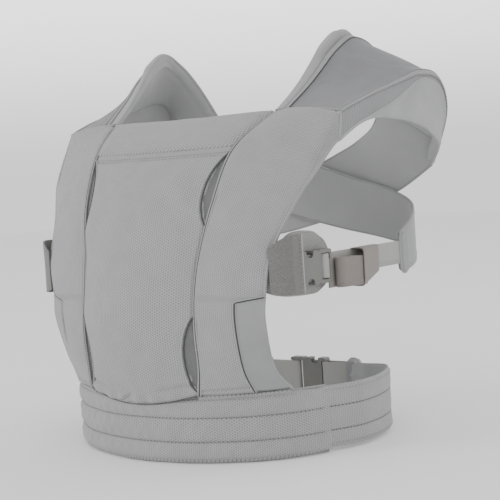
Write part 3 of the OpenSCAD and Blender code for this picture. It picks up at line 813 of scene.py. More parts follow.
# ---------------------------------------------------------------- side bands
for name, k in SIDES:
    rows = rows_with_ends(BAND_FOOT, BAND_TOP, 190)
    t = np.repeat(rows[:, None], 60, axis=1)
    slant = WEDGE_SIDE + (t - WEDGE_TOP - 0.004) / (WEDGE_SLOPE - 0.004) * (1 - WEDGE_SIDE)
    limit = np.where(t <= WEDGE_TOP + 0.004, WEDGE_SIDE, np.where(t >= WEDGE_TOP + WEDGE_SLOPE, 1.0, slant))
    s = 0.006 + (limit - 0.009) * np.linspace(0, 1, 60)[None, :]
    gb = band_at(t, s)
    U, V = s * 0.07, gb[..., 2]
    rel = 0.0012 * wave(U, V, 7, 0.09) + 0.0005 * wave(U, V, 8, 0.035)
    rel += tuck(t) * 0.8
    rel += -0.0018 * np.exp(-((t - 0.03 - 0.03 * s) / 0.009) ** 2)
    rel += -0.0020 * smooth((0.05 - s) / 0.05) - 0.0012 * smooth((s / limit - 0.94) / 0.06)
    gs = side(gb, k)
    sewn(f"side_band_{name}.cloth", gs, 0.003, ["band_knit", "lining"],
         "knit", f"side_band_{name}", out=turned(rel, k), inner=True)

    gl = side(grid(np.linspace(0.02, 0.97, 60), np.linspace(0.04, 0.94, 24), band_at), k)
    sewn(f"band_lining_{name}.cloth", gl, 0.0014, ["lining"], "lining", f"band_lining_{name}", out=-0.0040)

    # double piping along the seam with the panel, with a near-black tube between the pipings as painted
    # shadow in the seam
    t = np.linspace(-0.012, 0.99, 200)
    n = unit(normals(grid(t, np.array([0.0, 0.05]), band_at))[:, 0])
    for tag, at, r, mat in (("outer", 0.026, 0.0010, "band_knit"), ("inner", -0.004, 0.0010, "knit"),
                            ("shadow", 0.011, 0.0008, "seam")):
        p = band_at(t, at) + n * (0.0006 if mat != "seam" else 0.0007)
        trim(f"seam_piping_{tag}_{name}", flip(p, k), r, mat, "knit")
    # the band's edge turns in below the shoulder's ribbed side
    t, r = crossed(np.linspace(RETURN_FROM, BAND_TOP, 60), np.linspace(0, 1, 16))
    gr = band_at(t, 0.992) + (ARM[0] - EDGE[-1]) * (smooth_return(t) * r)[..., None]
    gr = side(gr, k)
    sewn(f"band_return_{name}.cloth", gr, 0.0028, ["band_knit", "lining"], "knit", out=-0.0002, inner=True)
    # bound edge at the arm
    t = np.linspace(WEDGE_TOP + WEDGE_SLOPE, 0.99, 140)
    n = unit(normals(grid(t, np.array([0.95, 1.0]), band_at))[:, 1])
    p = band_at(t, 0.996) + (ARM[0] - EDGE[-1]) * smooth_return(t)[:, None]
    trim(f"arm_edge_{name}", flip(p, k), 0.0016, "band_knit", "knit", sides=10)
    p = band_at(t, 0.935) + n * 0.0013
    put(stitches(f"arm_edge_stitches_{name}", flip(p, k), flip(n, k)), "carrier", "knit")

    # wedge below the arm
    r_, s_ = crossed(np.linspace(0, 1, 80), np.linspace(WEDGE_SIDE + 0.004, 0.998, 36))
    top = WEDGE_TOP - 0.004 + WEDGE_SLOPE * (s_ - WEDGE_SIDE) / (1 - WEDGE_SIDE)
    tw = BAND_FOOT + (top - BAND_FOOT) * r_
    gw = band_at(tw, s_)
    rw = -0.0008 + 0.0008 * wave(s_ * 0.07, gw[..., 2], 11, 0.06) + tuck(tw) * 0.8
    gw = side(gw, k)
    sewn(f"side_wedge_{name}.cloth", gw, 0.003, ["smooth", "lining"],
         "jersey", f"side_wedge_{name}", out=turned(rw, k), inner=True)
    # its seam: up the side, then across to the arm; tube c is near-black, painted shadow in the seam line
    up = np.linspace(-0.01, WEDGE_TOP, 60)
    over = np.linspace(0, 1, 24)[1:]
    tt = np.concatenate([up, WEDGE_TOP + WEDGE_SLOPE * over])
    ss = np.concatenate([np.full(60, WEDGE_SIDE), WEDGE_SIDE + (1 - WEDGE_SIDE) * over])
    base = band_at(tt, ss)
    n = unit(np.cross(band_at(tt, ss + 0.03) - base, band_at(tt + 0.01, ss) - base))
    shift = unit(band_at(tt, ss + 0.03) - base)
    along_top = np.repeat([0.0, 1.0], [len(up), len(over)])[:, None]
    down = unit(band_at(tt - 0.01, ss) - base)
    aside = shift * (1 - along_top) + down * along_top
    for tag, off, r, mat, lift in (("a", -0.0013, 0.0009, "band_knit", 0.0010),
                                   ("b", 0.0015, 0.0009, "smooth", 0.0004),
                                   ("c", 0.0001, 0.0008, "seam", 0.0008)):
        p = base + aside * off + n * lift
        trim(f"wedge_seam_{tag}_{name}", flip(p, k), r, mat, step=0.003)
    t = np.linspace(-0.01, WEDGE_TOP + WEDGE_SLOPE, 80)
    trim(f"wedge_edge_{name}", flip(band_at(t, 0.998), k), 0.0015, "smooth", sides=10)

    # the band's foot turns in to the waistband's top edge
    s = np.linspace(0.0, 0.992, 60)
    start = band_at(-0.010, s)
    angle = np.degrees(np.arctan2(start[:, 0] / WAIST_W, -(start[:, 1] + SET_BACK) / WAIST_FRONT))
    r = np.linspace(0.18, 1, 14)[:, None, None]
    gf = side(start[None] * (1 - r) + waist_at(angle, 0.0595, PAD_IN)[None] * r, k)
    sewn(f"band_foot_{name}.cloth", gf, 0.0024, ["band_knit"], "knit")

# ---------------------------------------------------------------- head rest
rows = np.linspace(FOLD + 0.010, 1.0, 44)
cols = np.linspace(-0.965, 0.965, 110)
gh = panel_grid(rows, cols, False)
R_, C_ = crossed(np.linspace(0, 1, 44), np.linspace(-1, 1, 110))
edge_r = np.minimum(R_, 1 - R_) * 0.055
edge_c = (1 - np.abs(C_)) * 0.10
crown = dome(edge_r / 0.012) * dome(edge_c / 0.014)
full = 0.0030 + 0.0062 * crown
uneven = 0.0006 * wave(gh[..., 0], gh[..., 2], 15, 0.05)
head = cloth("head_rest", gh, full, ["knit", "lining"], out=0.0003 + uneven, inner=True)
inflate(head, (R_ > 0.07) & (R_ < 0.93) & (np.abs(C_) < 0.95), 3.0, 0.003, both=True)
put(head, "head_support", "knit", "head_support_cover", "head_support_foam", "head_support_lining")
top = panel_at(1.0, cols)
piping = tube("head_rest_top_piping", top + [0, -0.0005, 0.0004], 0.0013, "knit", 10, 0.004)
put(piping, "head_support", "knit")
n_top = np.repeat([[0, -0.8, 0.6]], 110, axis=0)
p = panel_at(0.965, cols * 0.99) + n_top * 0.0042
put(stitches("head_rest_top_stitches", p, n_top), "head_support", "knit")
# the strip of cloth over the head rest's hinge line
tt = np.linspace(FOLD - 0.017, FOLD + 0.016, 22)
gs = panel_grid(tt, np.linspace(-0.965, 0.965, 90), False)
strip = cloth("head_rest_fold", gs, 0.0016, ["knit"], out=-0.0006)
a, b = panel_at(FOLD + np.array([-0.010, 0.010]), 0)
sheet(strip)
span_joint(strip)
line = panel_at(FOLD - FOLD_GAP - 0.006, np.linspace(-0.955, 0.955, 100))
n_line = unit(np.stack([0.4 * np.linspace(-1, 1, 100), -np.ones(100), 0.55 * np.ones(100)], axis=1))
put(stitches("fold_stitches", line + n_line * 0.0014, n_line), "carrier", "knit")
line = panel_at(FOLD - FOLD_GAP + 0.003, np.linspace(-0.96, 0.96, 100))
trim("fold_seam", line, 0.0008, "smooth", "knit")

# ---------------------------------------------------------------- shoulder straps
# material, where it starts across the strap (None: at the foot of the ribbed side), columns
PARTS = (("light", 0, 8), ("band_knit", 0.095, 6), ("cool", 0.155, 30), ("band_knit", 0.768, 5),
         ("ribbed", 0.806, 12), ("light", None, 11))
STRAP_MATS = ("light", "band_knit", "cool", "ribbed", "lining")


def facet_foot(t):
    """Where the ribbed side of the strap ends; it narrows to nothing on the way over the shoulder."""
    return 0.992 - 0.170 * smooth((t - 0.20) / 0.42)


def sampled(g, t, s):
    """The grid's points at any place 0 to 1 along and across it."""
    i, j = t * (g.shape[0] - 1), s * (g.shape[1] - 1)
    i0, j0 = np.clip(i.astype(int), 0, g.shape[0] - 2), np.clip(j.astype(int), 0, g.shape[1] - 2)
    fi, fj = (i - i0)[..., None], (j - j0)[..., None]
    return ((g[i0, j0] * (1 - fj) + g[i0, j0 + 1] * fj) * (1 - fi)
            + (g[i0 + 1, j0] * (1 - fj) + g[i0 + 1, j0 + 1] * fj) * fi)


def relaxed(g, passes):
    """Each inner row moved half way to the mean of its neighbours, some times over."""
    for _ in range(passes):
        g[1:-1] = g[1:-1] * 0.5 + (g[2:] + g[:-2]) * 0.25
    return g


even_strap = grid(np.linspace(0, 1, 181), np.linspace(0, 1, 101), strap_at)
relaxed(even_strap.swapaxes(0, 1), 14)
relaxed(even_strap, 14)
for name, k in SIDES:
    rows = rows_with_ends(0.004, 0.996, 150, 0.003)
    foot_s = facet_foot(rows)
    s, kinds, first = [], [], []
    for i, (mat, start, count) in enumerate(PARTS):
        a = foot_s if start is None else np.full(len(rows), float(start))
        b = 1.0 if i == len(PARTS) - 1 else (foot_s if PARTS[i + 1][1] is None else PARTS[i + 1][1])
        first.append(len(s))
        for j in range(count):
            s.append(a + (b - a) * j / count)
            kinds.append(i)
    s.append(np.ones(len(rows)))
    kinds.append(len(PARTS) - 1)
    s = np.stack(s, axis=1)
    t = np.repeat(rows[:, None], s.shape[1], axis=1)
    gp = sampled(even_strap, t, s)
    edge = np.minimum(np.minimum(t, 1 - t) * 0.33, np.minimum(s, 1 - s) * 0.10)
    crown = dome(edge / 0.011)
    thick = 0.0030 + 0.0068 * crown
    out = -0.0042 + (1 - crown) * 0.0030
    u, v = arcs(gp)
    top_part = smooth((s - 0.16) / 0.08) * smooth((0.76 - s) / 0.08)
    raised = 0.0012 * smooth((s - 0.088) / 0.01) * smooth((0.162 - s) / 0.01)
    raised = raised + 0.0014 * smooth((s - 0.760) / 0.010) * smooth((0.812 - s) / 0.010)
    # the neck edge rolls outwards over the shoulder, with a crease beside it
    over = smooth((t - 0.30) / 0.12) * smooth((0.70 - t) / 0.12)
    roll, crease = np.exp(-((s - 0.035) / 0.035) ** 2), np.exp(-((s - 0.088) / 0.014) ** 2)
    raised = raised + over * (0.0042 * roll - 0.0034 * crease)
    raised = raised - 0.0022 * top_part * (0.35 + 0.65 * smooth((t - 0.3) / 0.3))
    raised = raised + (0.0012 * wave(u, v, 31, 0.075) + 0.0004 * wave(u, v, 33, 0.03)) * (1 - crown * 0.2)
    raised = raised - 0.0005 * np.exp(-((t - 0.47 - 0.12 * (s - 0.4)) / 0.020) ** 2) * top_part
    inner_face = smooth((s - foot_s[:, None]) / 0.03) * smooth((t - 0.3) / 0.15)
    raised = (raised - 0.0020 * inner_face * (1 - smooth((s - 0.9) / 0.08))
              + 0.0010 * inner_face * np.sin(v * 150 + s * 18) * smooth((0.75 - t) / 0.2))
    thick, out = thick + raised * 0.6, out + raised * 0.7
    zone = np.tile([STRAP_MATS.index(PARTS[i][0]) for i in kinds], (len(rows), 1))
    arr = [turned(x, k) for x in (thick, out, zone)]
    if k < 0:
        arr[2] = np.concatenate([arr[2][:, 1:], arr[2][:, -1:]], axis=1)
    gs = side(gp, k)
    obj = cloth(f"shoulder_pad_{name}", gs, arr[0], STRAP_MATS, out=arr[1], inner=True, zone=arr[2])
    free = (crown > 0.97) & (np.abs(s - foot_s[:, None]) > 0.02)
    for seam, reach in ((0.09, 0.02), (0.155, 0.02), (0.787, 0.045)):
        free &= np.abs(s - seam) > reach
    inflate(obj, turned(free, k), 2.5, 0.0018, 14)
    put(obj, "carrier", "jersey", *(f"shoulder_{layer}_{name}" for layer in ("cover", "foam", "lining")))
    n_all = normals(gp)
    face = gp + n_all * (out + thick / 2)[..., None]

    def on(j, t0, t1, lift):
        """A line on the strap's own face along its column j."""
        tt = np.linspace(t0, t1, 130)
        line, nn = (np.stack([np.interp(tt, rows, a[:, j, c]) for c in range(3)], axis=1)
                    for a in (face, n_all))
        nn = unit(nn)
        return line + nn * lift, nn

    # the first four tubes are dark lines, painted shade along the strap's folds and seams
    for tag, j, r, mat, t1 in (("neck_fold_shade", first[1], 0.0007, "cool", 0.996),
                               ("neck_shadow", first[2], 0.0008, "seam", 0.996),
                               ("ridge_shadow", first[3], 0.0007, "cool", 0.996),
                               ("ridge_low_shadow", first[4], 0.0007, "cool", 0.996),
                               ("facet_foot", first[5], 0.0010, "light", 0.62)):
        p, _ = on(j, 0.004, t1, -0.0001)
        trim(f"shoulder_{tag}_{name}", flip(p, k), r, mat)
    for tag, j in (("neck", first[1] + 1), ("neck_b", first[2] - 1),
                   ("ridge_a", first[3] + 1), ("ridge_b", first[4] - 1)):
        p, nn = on(j, 0.02, 0.98, 0.0001)
        put(stitches(f"shoulder_stitches_{tag}_{name}", flip(p, k), flip(nn, k), "light"),
            "carrier", "jersey")
    for tag, j in (("neck", 0), ("arm", -1)):
        p = gp[:, j] + n_all[:, j] * out[:, j][:, None]
        trim(f"shoulder_{tag}_edge_{name}", flip(p, k), 0.0018, "light")
    # seam with the front band, across and down the side
    ss = np.linspace(0.0, TOP_SHARE, 60)
    p = strap_at(0.006, ss)
    start, later = along(NECK, np.array([0.0, 0.05]))
    n = unit(np.cross(p[-1] - p[0], later - start))[None, :]
    trim(f"shoulder_seam_{name}", flip(p + n * 0.0014, k), 0.0012, "band_knit", step=0.003)
    q = strap_at(0.018, ss)
    trim(f"shoulder_seam_shadow_{name}", flip(q + n * 0.0010, k), 0.0007, "seam", step=0.003)
    p = strap_at(0.006, np.linspace(TOP_SHARE, 1.0, 24))
    trim(f"shoulder_side_seam_{name}", flip(p, k), 0.0014, "light", step=0.003)

# ---------------------------------------------------------------- crossing back straps
# how far one strap is lifted over the other, and the share of the way in which each one flattens
LIFT, FLATTENS = 0.007, 0.14
# the cloth goes on past the CAD strap's last point, into its end tab
CROSS_V = np.concatenate([CROSSING, [[-0.1717, 0.084 - SET_BACK, 0.189]]])
FACES_V = np.concatenate([CROSSING_FACES, [[-0.996, 0.09, 0]]])
WIDTHS_V = np.concatenate([CROSSING_WIDTHS, [[0.038]]])
for name, k in SIDES:
    tv = np.linspace(0, 1, 150)
    tc = tv * 10 / 9
    mid = along(CROSS_V, tv)
    out = unit(along(FACES_V, tv))
    run = unit(np.gradient(mid, axis=0))
    across = unit(np.cross(out, run))
    half = along(WIDTHS_V, tv) / 2
    over = (LIFT if k > 0 else 0) * np.clip(np.sin(np.pi * np.clip(tc, 0, 1)) ** 2 * 1.8, 0, 1)
    flat = smooth(tc / FLATTENS)[:, None]
    cols = np.linspace(0, 1, 44)
    g = []
    for s0 in cols:
        level = mid + out * over[:, None] + across * half * (1 - 2 * s0)
        start = strap_at(np.ones(150), s0)
        g.append(start + (level - start) * flat)
    g = relaxed(np.stack(g, axis=1), 4)
    S = np.broadcast_to(cols[None, :], (150, 44))
    TV = np.broadcast_to(tv[:, None], (150, 44))
    edge = np.minimum(S, 1 - S) * 0.07
    crown = dome(edge / 0.006)
    u, v = arcs(g)
    thick = 0.0020 + 0.0012 * crown
    rel = 0.0007 * wave(u, v, 41 + k, 0.06) * smooth((TV - 0.02) / 0.1) * smooth((0.9 - TV) / 0.1)
    gs, thick, rel = side(g, k), turned(thick, k), turned(rel, k)
    obj = cloth(f"back_strap_{name}.cloth", gs, thick, ["smooth", "lining"], out=rel, inner=True)
    a, b = flip(along(CROSS_V, np.array([0.60, 0.91])), k)
    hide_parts(f"back_strap_{name}")
    sheet(obj)
    pieces = [obj]
    n_all = normals(g)
    for tag, j in (("upper", 3), ("lower", 40)):
        p = flip(g[4:140, j] + n_all[4:140, j] * 0.0016, k)
        pieces.append(stitches(f"back_strap_stitches_{tag}_{name}", p, flip(n_all[4:140, j], k)))
    for tag, j in (("upper", 0), ("lower", 43)):
        pieces.append(tube(f"back_strap_edge_{tag}_{name}", flip(g[2:147, j], k), 0.0016, "smooth"))
    for piece in pieces:
        span_joint(piece)
    # seam where the strap leaves the shoulder
    p = strap_at(0.999, np.linspace(0.01, 0.99, 40))
    n = unit(along(CROSSING_FACES, np.array([0.0])))
    trim(f"back_seam_{name}", flip(p + n * 0.0014, k), 0.0015, "piping", step=0.003)

# ---------------------------------------------------------------- waistband
# quilting stitches: material, length, gap, radius; and the band's mean radius
QUILTING, MEAN_RADIUS = ("knit", 0.0030, 0.0012, 0.0004), 0.17
zr = rows_with_ends(PAD_FOOT, PAD_TOP, 96, 0.0004)
ang = rows_with_ends(-PAD_ANGLE, PAD_ANGLE, 230, 0.4)
Zw, A = crossed(zr, ang)
gw = waist_at(A, Zw, PAD_IN)
U = np.radians(A) * MEAN_RADIUS
ez = np.minimum(Zw - PAD_FOOT, PAD_TOP - Zw)
ea = (PAD_ANGLE - np.abs(A)) / 57.3 * 0.16
crown = (0.43 + 0.57 * dome(ez / 0.006)) * smooth(ea / 0.055) ** 0.8
thick = 0.0035 + 0.0113 * crown
pinch = np.zeros_like(Zw)
for m0, z0 in enumerate(SEAMS_Z):
    pinch += 0.0030 * np.exp(-np.abs(Zw - z0) / 0.0042)
    beside = np.exp(-((np.abs(Zw - z0) - 0.006) / 0.004) ** 2)
    pinch += 0.0006 * beside * np.sin(U * 2 * np.pi / 0.015 + 2.2 * np.sin(U * 23) + m0 * 2)
puff = 0.0016 * crown + 0.0009 * wave(U, Zw, 51, 0.05) + 0.0004 * wave(U, Zw, 52, 0.018)
thick = thick + puff - pinch * crown
out = (puff - pinch * crown) / 2 + (1 - crown) * 0.0028
zone = np.where((Zw > SEAMS_Z[0]) & (Zw < SEAMS_Z[1]), 0, 1)
band = cloth("waistband_pad", gw, thick, ["knit", "band_knit", "lining"], out=out, inner=True, zone=zone)
free = crown > 0.98
for z0 in SEAMS_Z:
    free &= np.abs(Zw - z0) > 0.0022
inflate(band, free, 3.5, 0.0022)
put(band, "carrier", "knit", "waistband_cover", "waistband_foam", "waistband_lining")
pad_n = normals(gw)
pad_face = gw + pad_n * (out + thick / 2)[..., None]
for m, z0 in enumerate(SEAMS_Z):
    i = int(np.argmin(np.abs(zr - z0)))
    p, n = pad_face[i, 4:-4], pad_n[i, 4:-4]
    # a dark tube in each quilting groove, as painted shade
    trim(f"quilt_shade_line_{m}", p + n * 0.0001, 0.0006, "groove", "knit", step=0.003)
    put(stitches(f"quilt_stitches_{m}", p + n * 0.0007, n, *QUILTING), "carrier", "knit")
for tag, z0, d0 in (("top", 0.0685, 0.0068), ("foot", 0.0018, 0.0068)):
    aa = np.linspace(-PAD_ANGLE + 0.5, PAD_ANGLE - 0.5, 200)
    trim(f"waistband_piping_{tag}", waist_at(aa, z0, d0 - 0.0012), 0.0013, "band_knit", "knit")

# wings round to the buckle; quilting runs along two of their rows
WING_ROWS, WING_LINES = 46, {"upper": 30, "lower": 12}
for name, k in SIDES:
    aa = np.linspace(PAD_ANGLE - 3, 158.5, 150)
    R_, A = crossed(np.linspace(0, 1, WING_ROWS), aa)
    taper = np.clip((A - 120) / 36, 0, 1)
    low = 0.0062 + 0.0085 * taper
    high = 0.0675 - 0.0125 * taper - 0.0010
    zz = low + (high - low) * R_
    lift = 0.0078 * smooth((A - 138) / 19) + 0.0060 * smooth((A - 68) / 16) * smooth((146 - A) / 36)
    gg = waist_at(A, zz, 0.0056 - lift)
    edge = np.minimum(R_, 1 - R_) * 0.06
    crown = dome(edge / 0.005)
    thick = 0.0030 + 0.0018 * crown
    U = np.radians(A) * MEAN_RADIUS
    dips = sum(0.0012 * np.exp(-np.abs(R_ - i / (WING_ROWS - 1)) / 0.05) for i in sorted(WING_LINES.values()))
    relief = 0.0008 * wave(U, zz, 61, 0.06) - dips
    gs, thick, rel = side(gg, k), turned(thick, k), turned(relief, k)
    obj = cloth(f"waistband_wing_{name}.cloth", gs, thick, ["band_knit", "lining"], out=rel, inner=True)
    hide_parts(f"waistband_wing_{name}")
    sheet(obj)
    rides = [obj]
    nn = normals(gg)
    wing_face = gg + nn * (0.0024 + relief)[..., None]
    for tag, i in {"top": 43, **WING_LINES, "foot": 2}.items():
        line, nl = wing_face[i, 2:146], nn[i, 2:146]
        rides.append(stitches(f"wing_stitches_{tag}_{name}", flip(line + nl * 0.0004, k), flip(nl, k),
                              *QUILTING))
        # along the two quilting rows, a dark tube as painted shade in the groove
        if tag in WING_LINES:
            rides.append(tube(f"wing_shade_line_{tag}_{name}", flip(line, k), 0.0007, "groove", 8, 0.004))
    # the right wing's pieces have their placement baked into their meshes; the left wing's ride on the
    # carrier
    a, b = flip(gg[WING_ROWS // 2, [105, 140]], k)
    for piece in rides:
        if k < 0:
            span_joint(piece)
        else:
            put(piece, "carrier", "jersey")

# ---------------------------------------------------------------- buckles, webbing and what is on it
def at_side(points, k=1):
    """Side buckle places: along the strap, up, and out from the wearer."""
    p = np.asarray(points, float)
    c, s = math.cos(SIDE_TURN), math.sin(SIDE_TURN)
    return flip(SIDE_MOUTH + p[..., :1] * [s, c, 0] + p[..., 1:2] * [0, 0, 1] + p[..., 2:] * [c, -s, 0], k)


def at_waist(points, k=1):
    """Waist buckle places: along the strap towards -X, up, and out behind."""
    p = np.asarray(points, float)
    return WAIST_MOUTH + p[..., :1] * [-1, 0, 0] + p[..., 1:2] * [0, 0, 1] + p[..., 2:] * [0, 1, 0]


def border_path(g):
    """The closed path round a grid."""
    p = np.array([g[i, j] for i, j in border(*g.shape[:2])])
    return np.concatenate([p, p[:1]])


def upright(x, span, z, k):
    """An upright line of 30 points beside a side buckle."""
    return at_side(np.stack([np.full(30, x), np.linspace(*span, 30), np.full(30, z)], axis=1), k)


# along the strap: x, height off the band, lower edge, upper edge
FLAP = np.array([[-55, -20, -18, 4], [-50, -14.5, -21, 14], [-42, -9.8, -23, 26], [-30, -8.9, -24.5, 34],
                 [-15, -8.9, -25.5, 36], [0, -9.2, -26, 35], [9, -9.4, -25.5, 33.5], [17, -9.6, -22.5, 29],
                 [26, -9.8, -17, 23], [33, -9.8, -6, 10]]) / 1000
SLEEVE = np.array([[-60, -9, -17, 24], [-55, 0.5, -19.5, 31], [-48, 7.6, -21, 34.5], [-40, 8.4, -22, 35.5],
                   [-31, 8.4, -22, 35]]) / 1000
for name, k in SIDES:
    for tag, table, thick, mat in (("flap", FLAP, 0.0028, "speckle"), ("sleeve", SLEEVE, 0.0017, "sleeve")):
        c = np.linspace(0, 1, 70) ** (0.75 if tag == "flap" else 1)
        cols = along(table, c)
        r = np.linspace(0, 1, 46)[:, None]
        h = cols[None, :, 2] + (cols[None, :, 3] - cols[None, :, 2]) * r
        local = np.stack([cols[None, :, 0] + 0 * r, h, cols[None, :, 1] + 0 * r], axis=-1)
        g = turned(at_side(local, k), k)
        rel = 0.0006 * wave(local[..., 0], h, 71, 0.03)
        sewn(f"buckle_{tag}_{name}.cloth", g, thick, [mat],
             "mesh_speckled", f"buckle_{tag}_{name}", out=turned(rel, k))
        if tag == "flap":
            trim(f"flap_binding_{name}", border_path(g), 0.0017, "speckle", "mesh_speckled", step=0.003)
        else:
            edge_line = upright(-0.031, (-0.0222, 0.0352), 0.0088, k)
            trim(f"sleeve_piping_{name}", edge_line, 0.0012, "piping", "mesh_speckled", step=0.003, sides=10)
            nn = np.repeat(at_side([[0, 0, 1.0]], k) - at_side([[0, 0, 0.0]], k), 30, axis=0)
            line = upright(-0.0345, (-0.0205, 0.0335), 0.0093, k)
            put(stitches(f"sleeve_stitches_{name}", line, nn, lift=0.0004), "carrier", "mesh_speckled")


def webbing_path(to):
    """The long webbing, seen along its width: from its sewn end, under the frame, round the bar and back."""
    turn = np.linspace(-math.pi / 2, -1.5 * math.pi, 15)
    arc = [(0.0102 + 0.0030 * math.cos(a), 0.0030 * math.sin(a)) for a in turn]
    back = [(0.0135, 0.0031), (0.0156, 0.0036)]
    return [(to, -0.0030), (0.030, -0.0030), (0.0200, -0.0031), (0.0150, -0.0030)] + arc + back


def folded_path(span, base, thick, step):
    """The spare webbing: out of the bar, along under the roll, then round and round, flat, to its middle."""
    a, b = span
    big = thick / 2
    mid, half = (a + b) / 2, (b - a) / 2 - big
    turns = (big - 0.0011) / step
    pts = [(0.0150, 0.0034), (0.0172, 0.0046), (0.0200, base + 0.0012)]
    for th in np.linspace(-math.pi / 2 - 0.25, 2 * math.pi * turns, int(40 * turns)):
        r = big - step * max(0.0, th + math.pi / 2) / (2 * math.pi)
        x = mid + half * math.tanh(7 * math.cos(th)) + r * math.cos(th)
        pts.append((x, base + big + r * math.sin(th)))
    return pts


def smooth_path(points, step=0.0016):
    return relaxed(even(np.asarray(points, float), step)[0], 6)


def strip_along(name, points, w, t, mat, place, k, y=0.0, tilt=0.0):
    """A flat strip of webbing along a path in a buckle's own x-z plane."""
    q = smooth_path([(x, 0, z) for x, z in points])
    d = unit(np.gradient(q, axis=0))
    n = np.stack([-d[:, 2], np.zeros(len(d)), d[:, 0]], axis=1)
    q[:, 1] += y + (q[:, 0] - q[0, 0]) * tilt
    world = place(q, k)
    nn = place(q + n * 0.01, k) - world
    return profile_sweep(name, world, nn, strip_shape(w, t), mat)


def closed_band(name, span, ylow, yhigh, zlow, zhigh, t, mat, place, k, skew=0.0, rise=0.0, slope=0.0):
    """An elastic loop: a closed rounded band whose width runs along x, with its cloth t thick."""
    a = np.linspace(0, 2 * np.pi, 97)
    cy, cz, hy, hz = (ylow + yhigh) / 2, (zlow + zhigh) / 2, (yhigh - ylow) / 2, (zhigh - zlow) / 2
    y = cy + hy * np.sign(np.cos(a)) * np.abs(np.cos(a)) ** 0.25
    z = cz + hz * np.sign(np.sin(a)) * np.abs(np.sin(a)) ** 0.35
    x = np.linspace(span[0], span[1], 24)
    bulge = 1 - 0.10 * ((x - x.mean()) / (x[-1] - x[0]) * 2) ** 4
    local = np.stack([x[None, :] + 0 * y[:, None] + skew * (y[:, None] - cy),
                      cy + (y[:, None] - cy) * (0.985 + 0.015 * bulge[None, :]),
                      cz + (z[:, None] - cz) * (0.97 + 0.03 * bulge[None, :])], axis=-1)
    inside = np.stack([local[..., 0], cy + (local[..., 1] - cy) * (1 - t / hy),
                       cz + (local[..., 2] - cz) * (1 - t / hz)], axis=-1)
    for q in (local, inside):
        q[..., 2] = zlow + (q[..., 2] - zlow) * (1 - slope * ((x - x[0]) / (x[-1] - x[0]))[None, :])
        low = np.clip((yhigh - q[..., 1]) / (yhigh - ylow), 0, 1)
        q[..., 1] += rise * (x - x[0])[None, :] / (x[-1] - x[0]) * low
    g = place(local, k)
    rows, cols = g.shape[:2]
    inner = place(inside, k)
    verts = np.concatenate([g[:-1].reshape(-1, 3), inner[:-1].reshape(-1, 3)])
    rows -= 1
    n = rows * cols
    faces = []
    for i in range(rows):
        here, after = i * cols, (i + 1) % rows * cols
        for j in range(cols - 1):
            faces.append((here + j, here + j + 1, after + j + 1, after + j))
            faces.append((n + here + j, n + after + j, n + after + j + 1, n + here + j + 1))
        for j in (0, cols - 1):
            faces.append((here + j, after + j, n + after + j, n + here + j))
    per = np.concatenate([[0], np.cumsum(np.linalg.norm(np.diff(g[:, 0], axis=0), axis=1))])[:rows]
    uv = np.stack([np.tile(x, rows), np.repeat(per, cols)], axis=1)
    obj = make(name, verts, faces, [mat], np.concatenate([uv, uv]))
    bev = obj.modifiers.new("soft", "BEVEL")
    bev.width, bev.segments, bev.limit_method, bev.angle_limit = 0.0004, 2, "ANGLE", math.radians(50)
    return obj


def tab(name, x, half, z, t, place, k, body, *nodes):
    """The strap's padded end, with the webbing's end sewn into it."""
    R_, C_ = crossed(np.linspace(-1, 1, 60), np.linspace(-1, 1, 30))
    h = half * R_
    wide = (x[1] - x[0]) / 2 * (1 - np.clip((np.abs(R_) - 0.62) / 0.38, 0, 1) ** 2.6 * 0.72)
    local = np.stack([(x[0] + x[1]) / 2 + C_ * wide, h, np.full(R_.shape, z)], axis=-1)
    g = turned(place(local, k), k)
    e = np.minimum((1 - np.abs(C_)) * (x[1] - x[0]) / 2, (1 - np.abs(R_)) * half)
    crown = dome(e / 0.0035)
    obj = cloth(name, g, 0.0016 + (t - 0.0016) * crown, ["smooth"])
    put(obj, body, "jersey", *nodes)
    put(tube(name.replace("tab", "tab_piping"), border_path(g), 0.0013, step=0.002), body, "jersey")


def strap_piece(obj, body, slot, node):
    """Puts a strip or loop on its body, in place of its CAD node."""
    put(obj, body, slot, node)


WEB_THICK, SIDE_WEB, WAIST_WEB, BAND_THICK = 0.0014, 0.025, 0.038, 0.0012
for name, k in SIDES:
    body, webbing = f"strap_end_{name}", f"side_webbing_{name}"
    path = webbing_path(TAB_X + 0.006)
    strap_piece(strip_along(f"{webbing}.strip", path, SIDE_WEB, WEB_THICK, "webbing", at_side, k),
                body, "webbing", webbing)
    path = folded_path((0.0225, 0.0720), 0.0008, 0.0125, 0.0022)
    strap_piece(strip_along(f"webbing_roll_{name}.folds", path, 0.0300, WEB_THICK, "taupe", at_side, k,
                            y=-0.0080, tilt=-0.03),
                body, "taupe_elastic", f"webbing_roll_{name}")
    strap_piece(closed_band(f"web_keeper_{name}.band", (0.0605, 0.0985), -0.0265, 0.0135, -0.0050, 0.0150,
                            BAND_THICK, "taupe", at_side, k, skew=0.02, rise=0.0110, slope=0.46),
                f"keeper_{name}", "taupe_elastic", f"web_keeper_{name}")
    tab(f"strap_end_tab_{name}.pad", (0.1490, 0.1625), 0.0225, -0.0022, 0.0060, at_side, k,
        body, f"strap_end_tab_{name}")

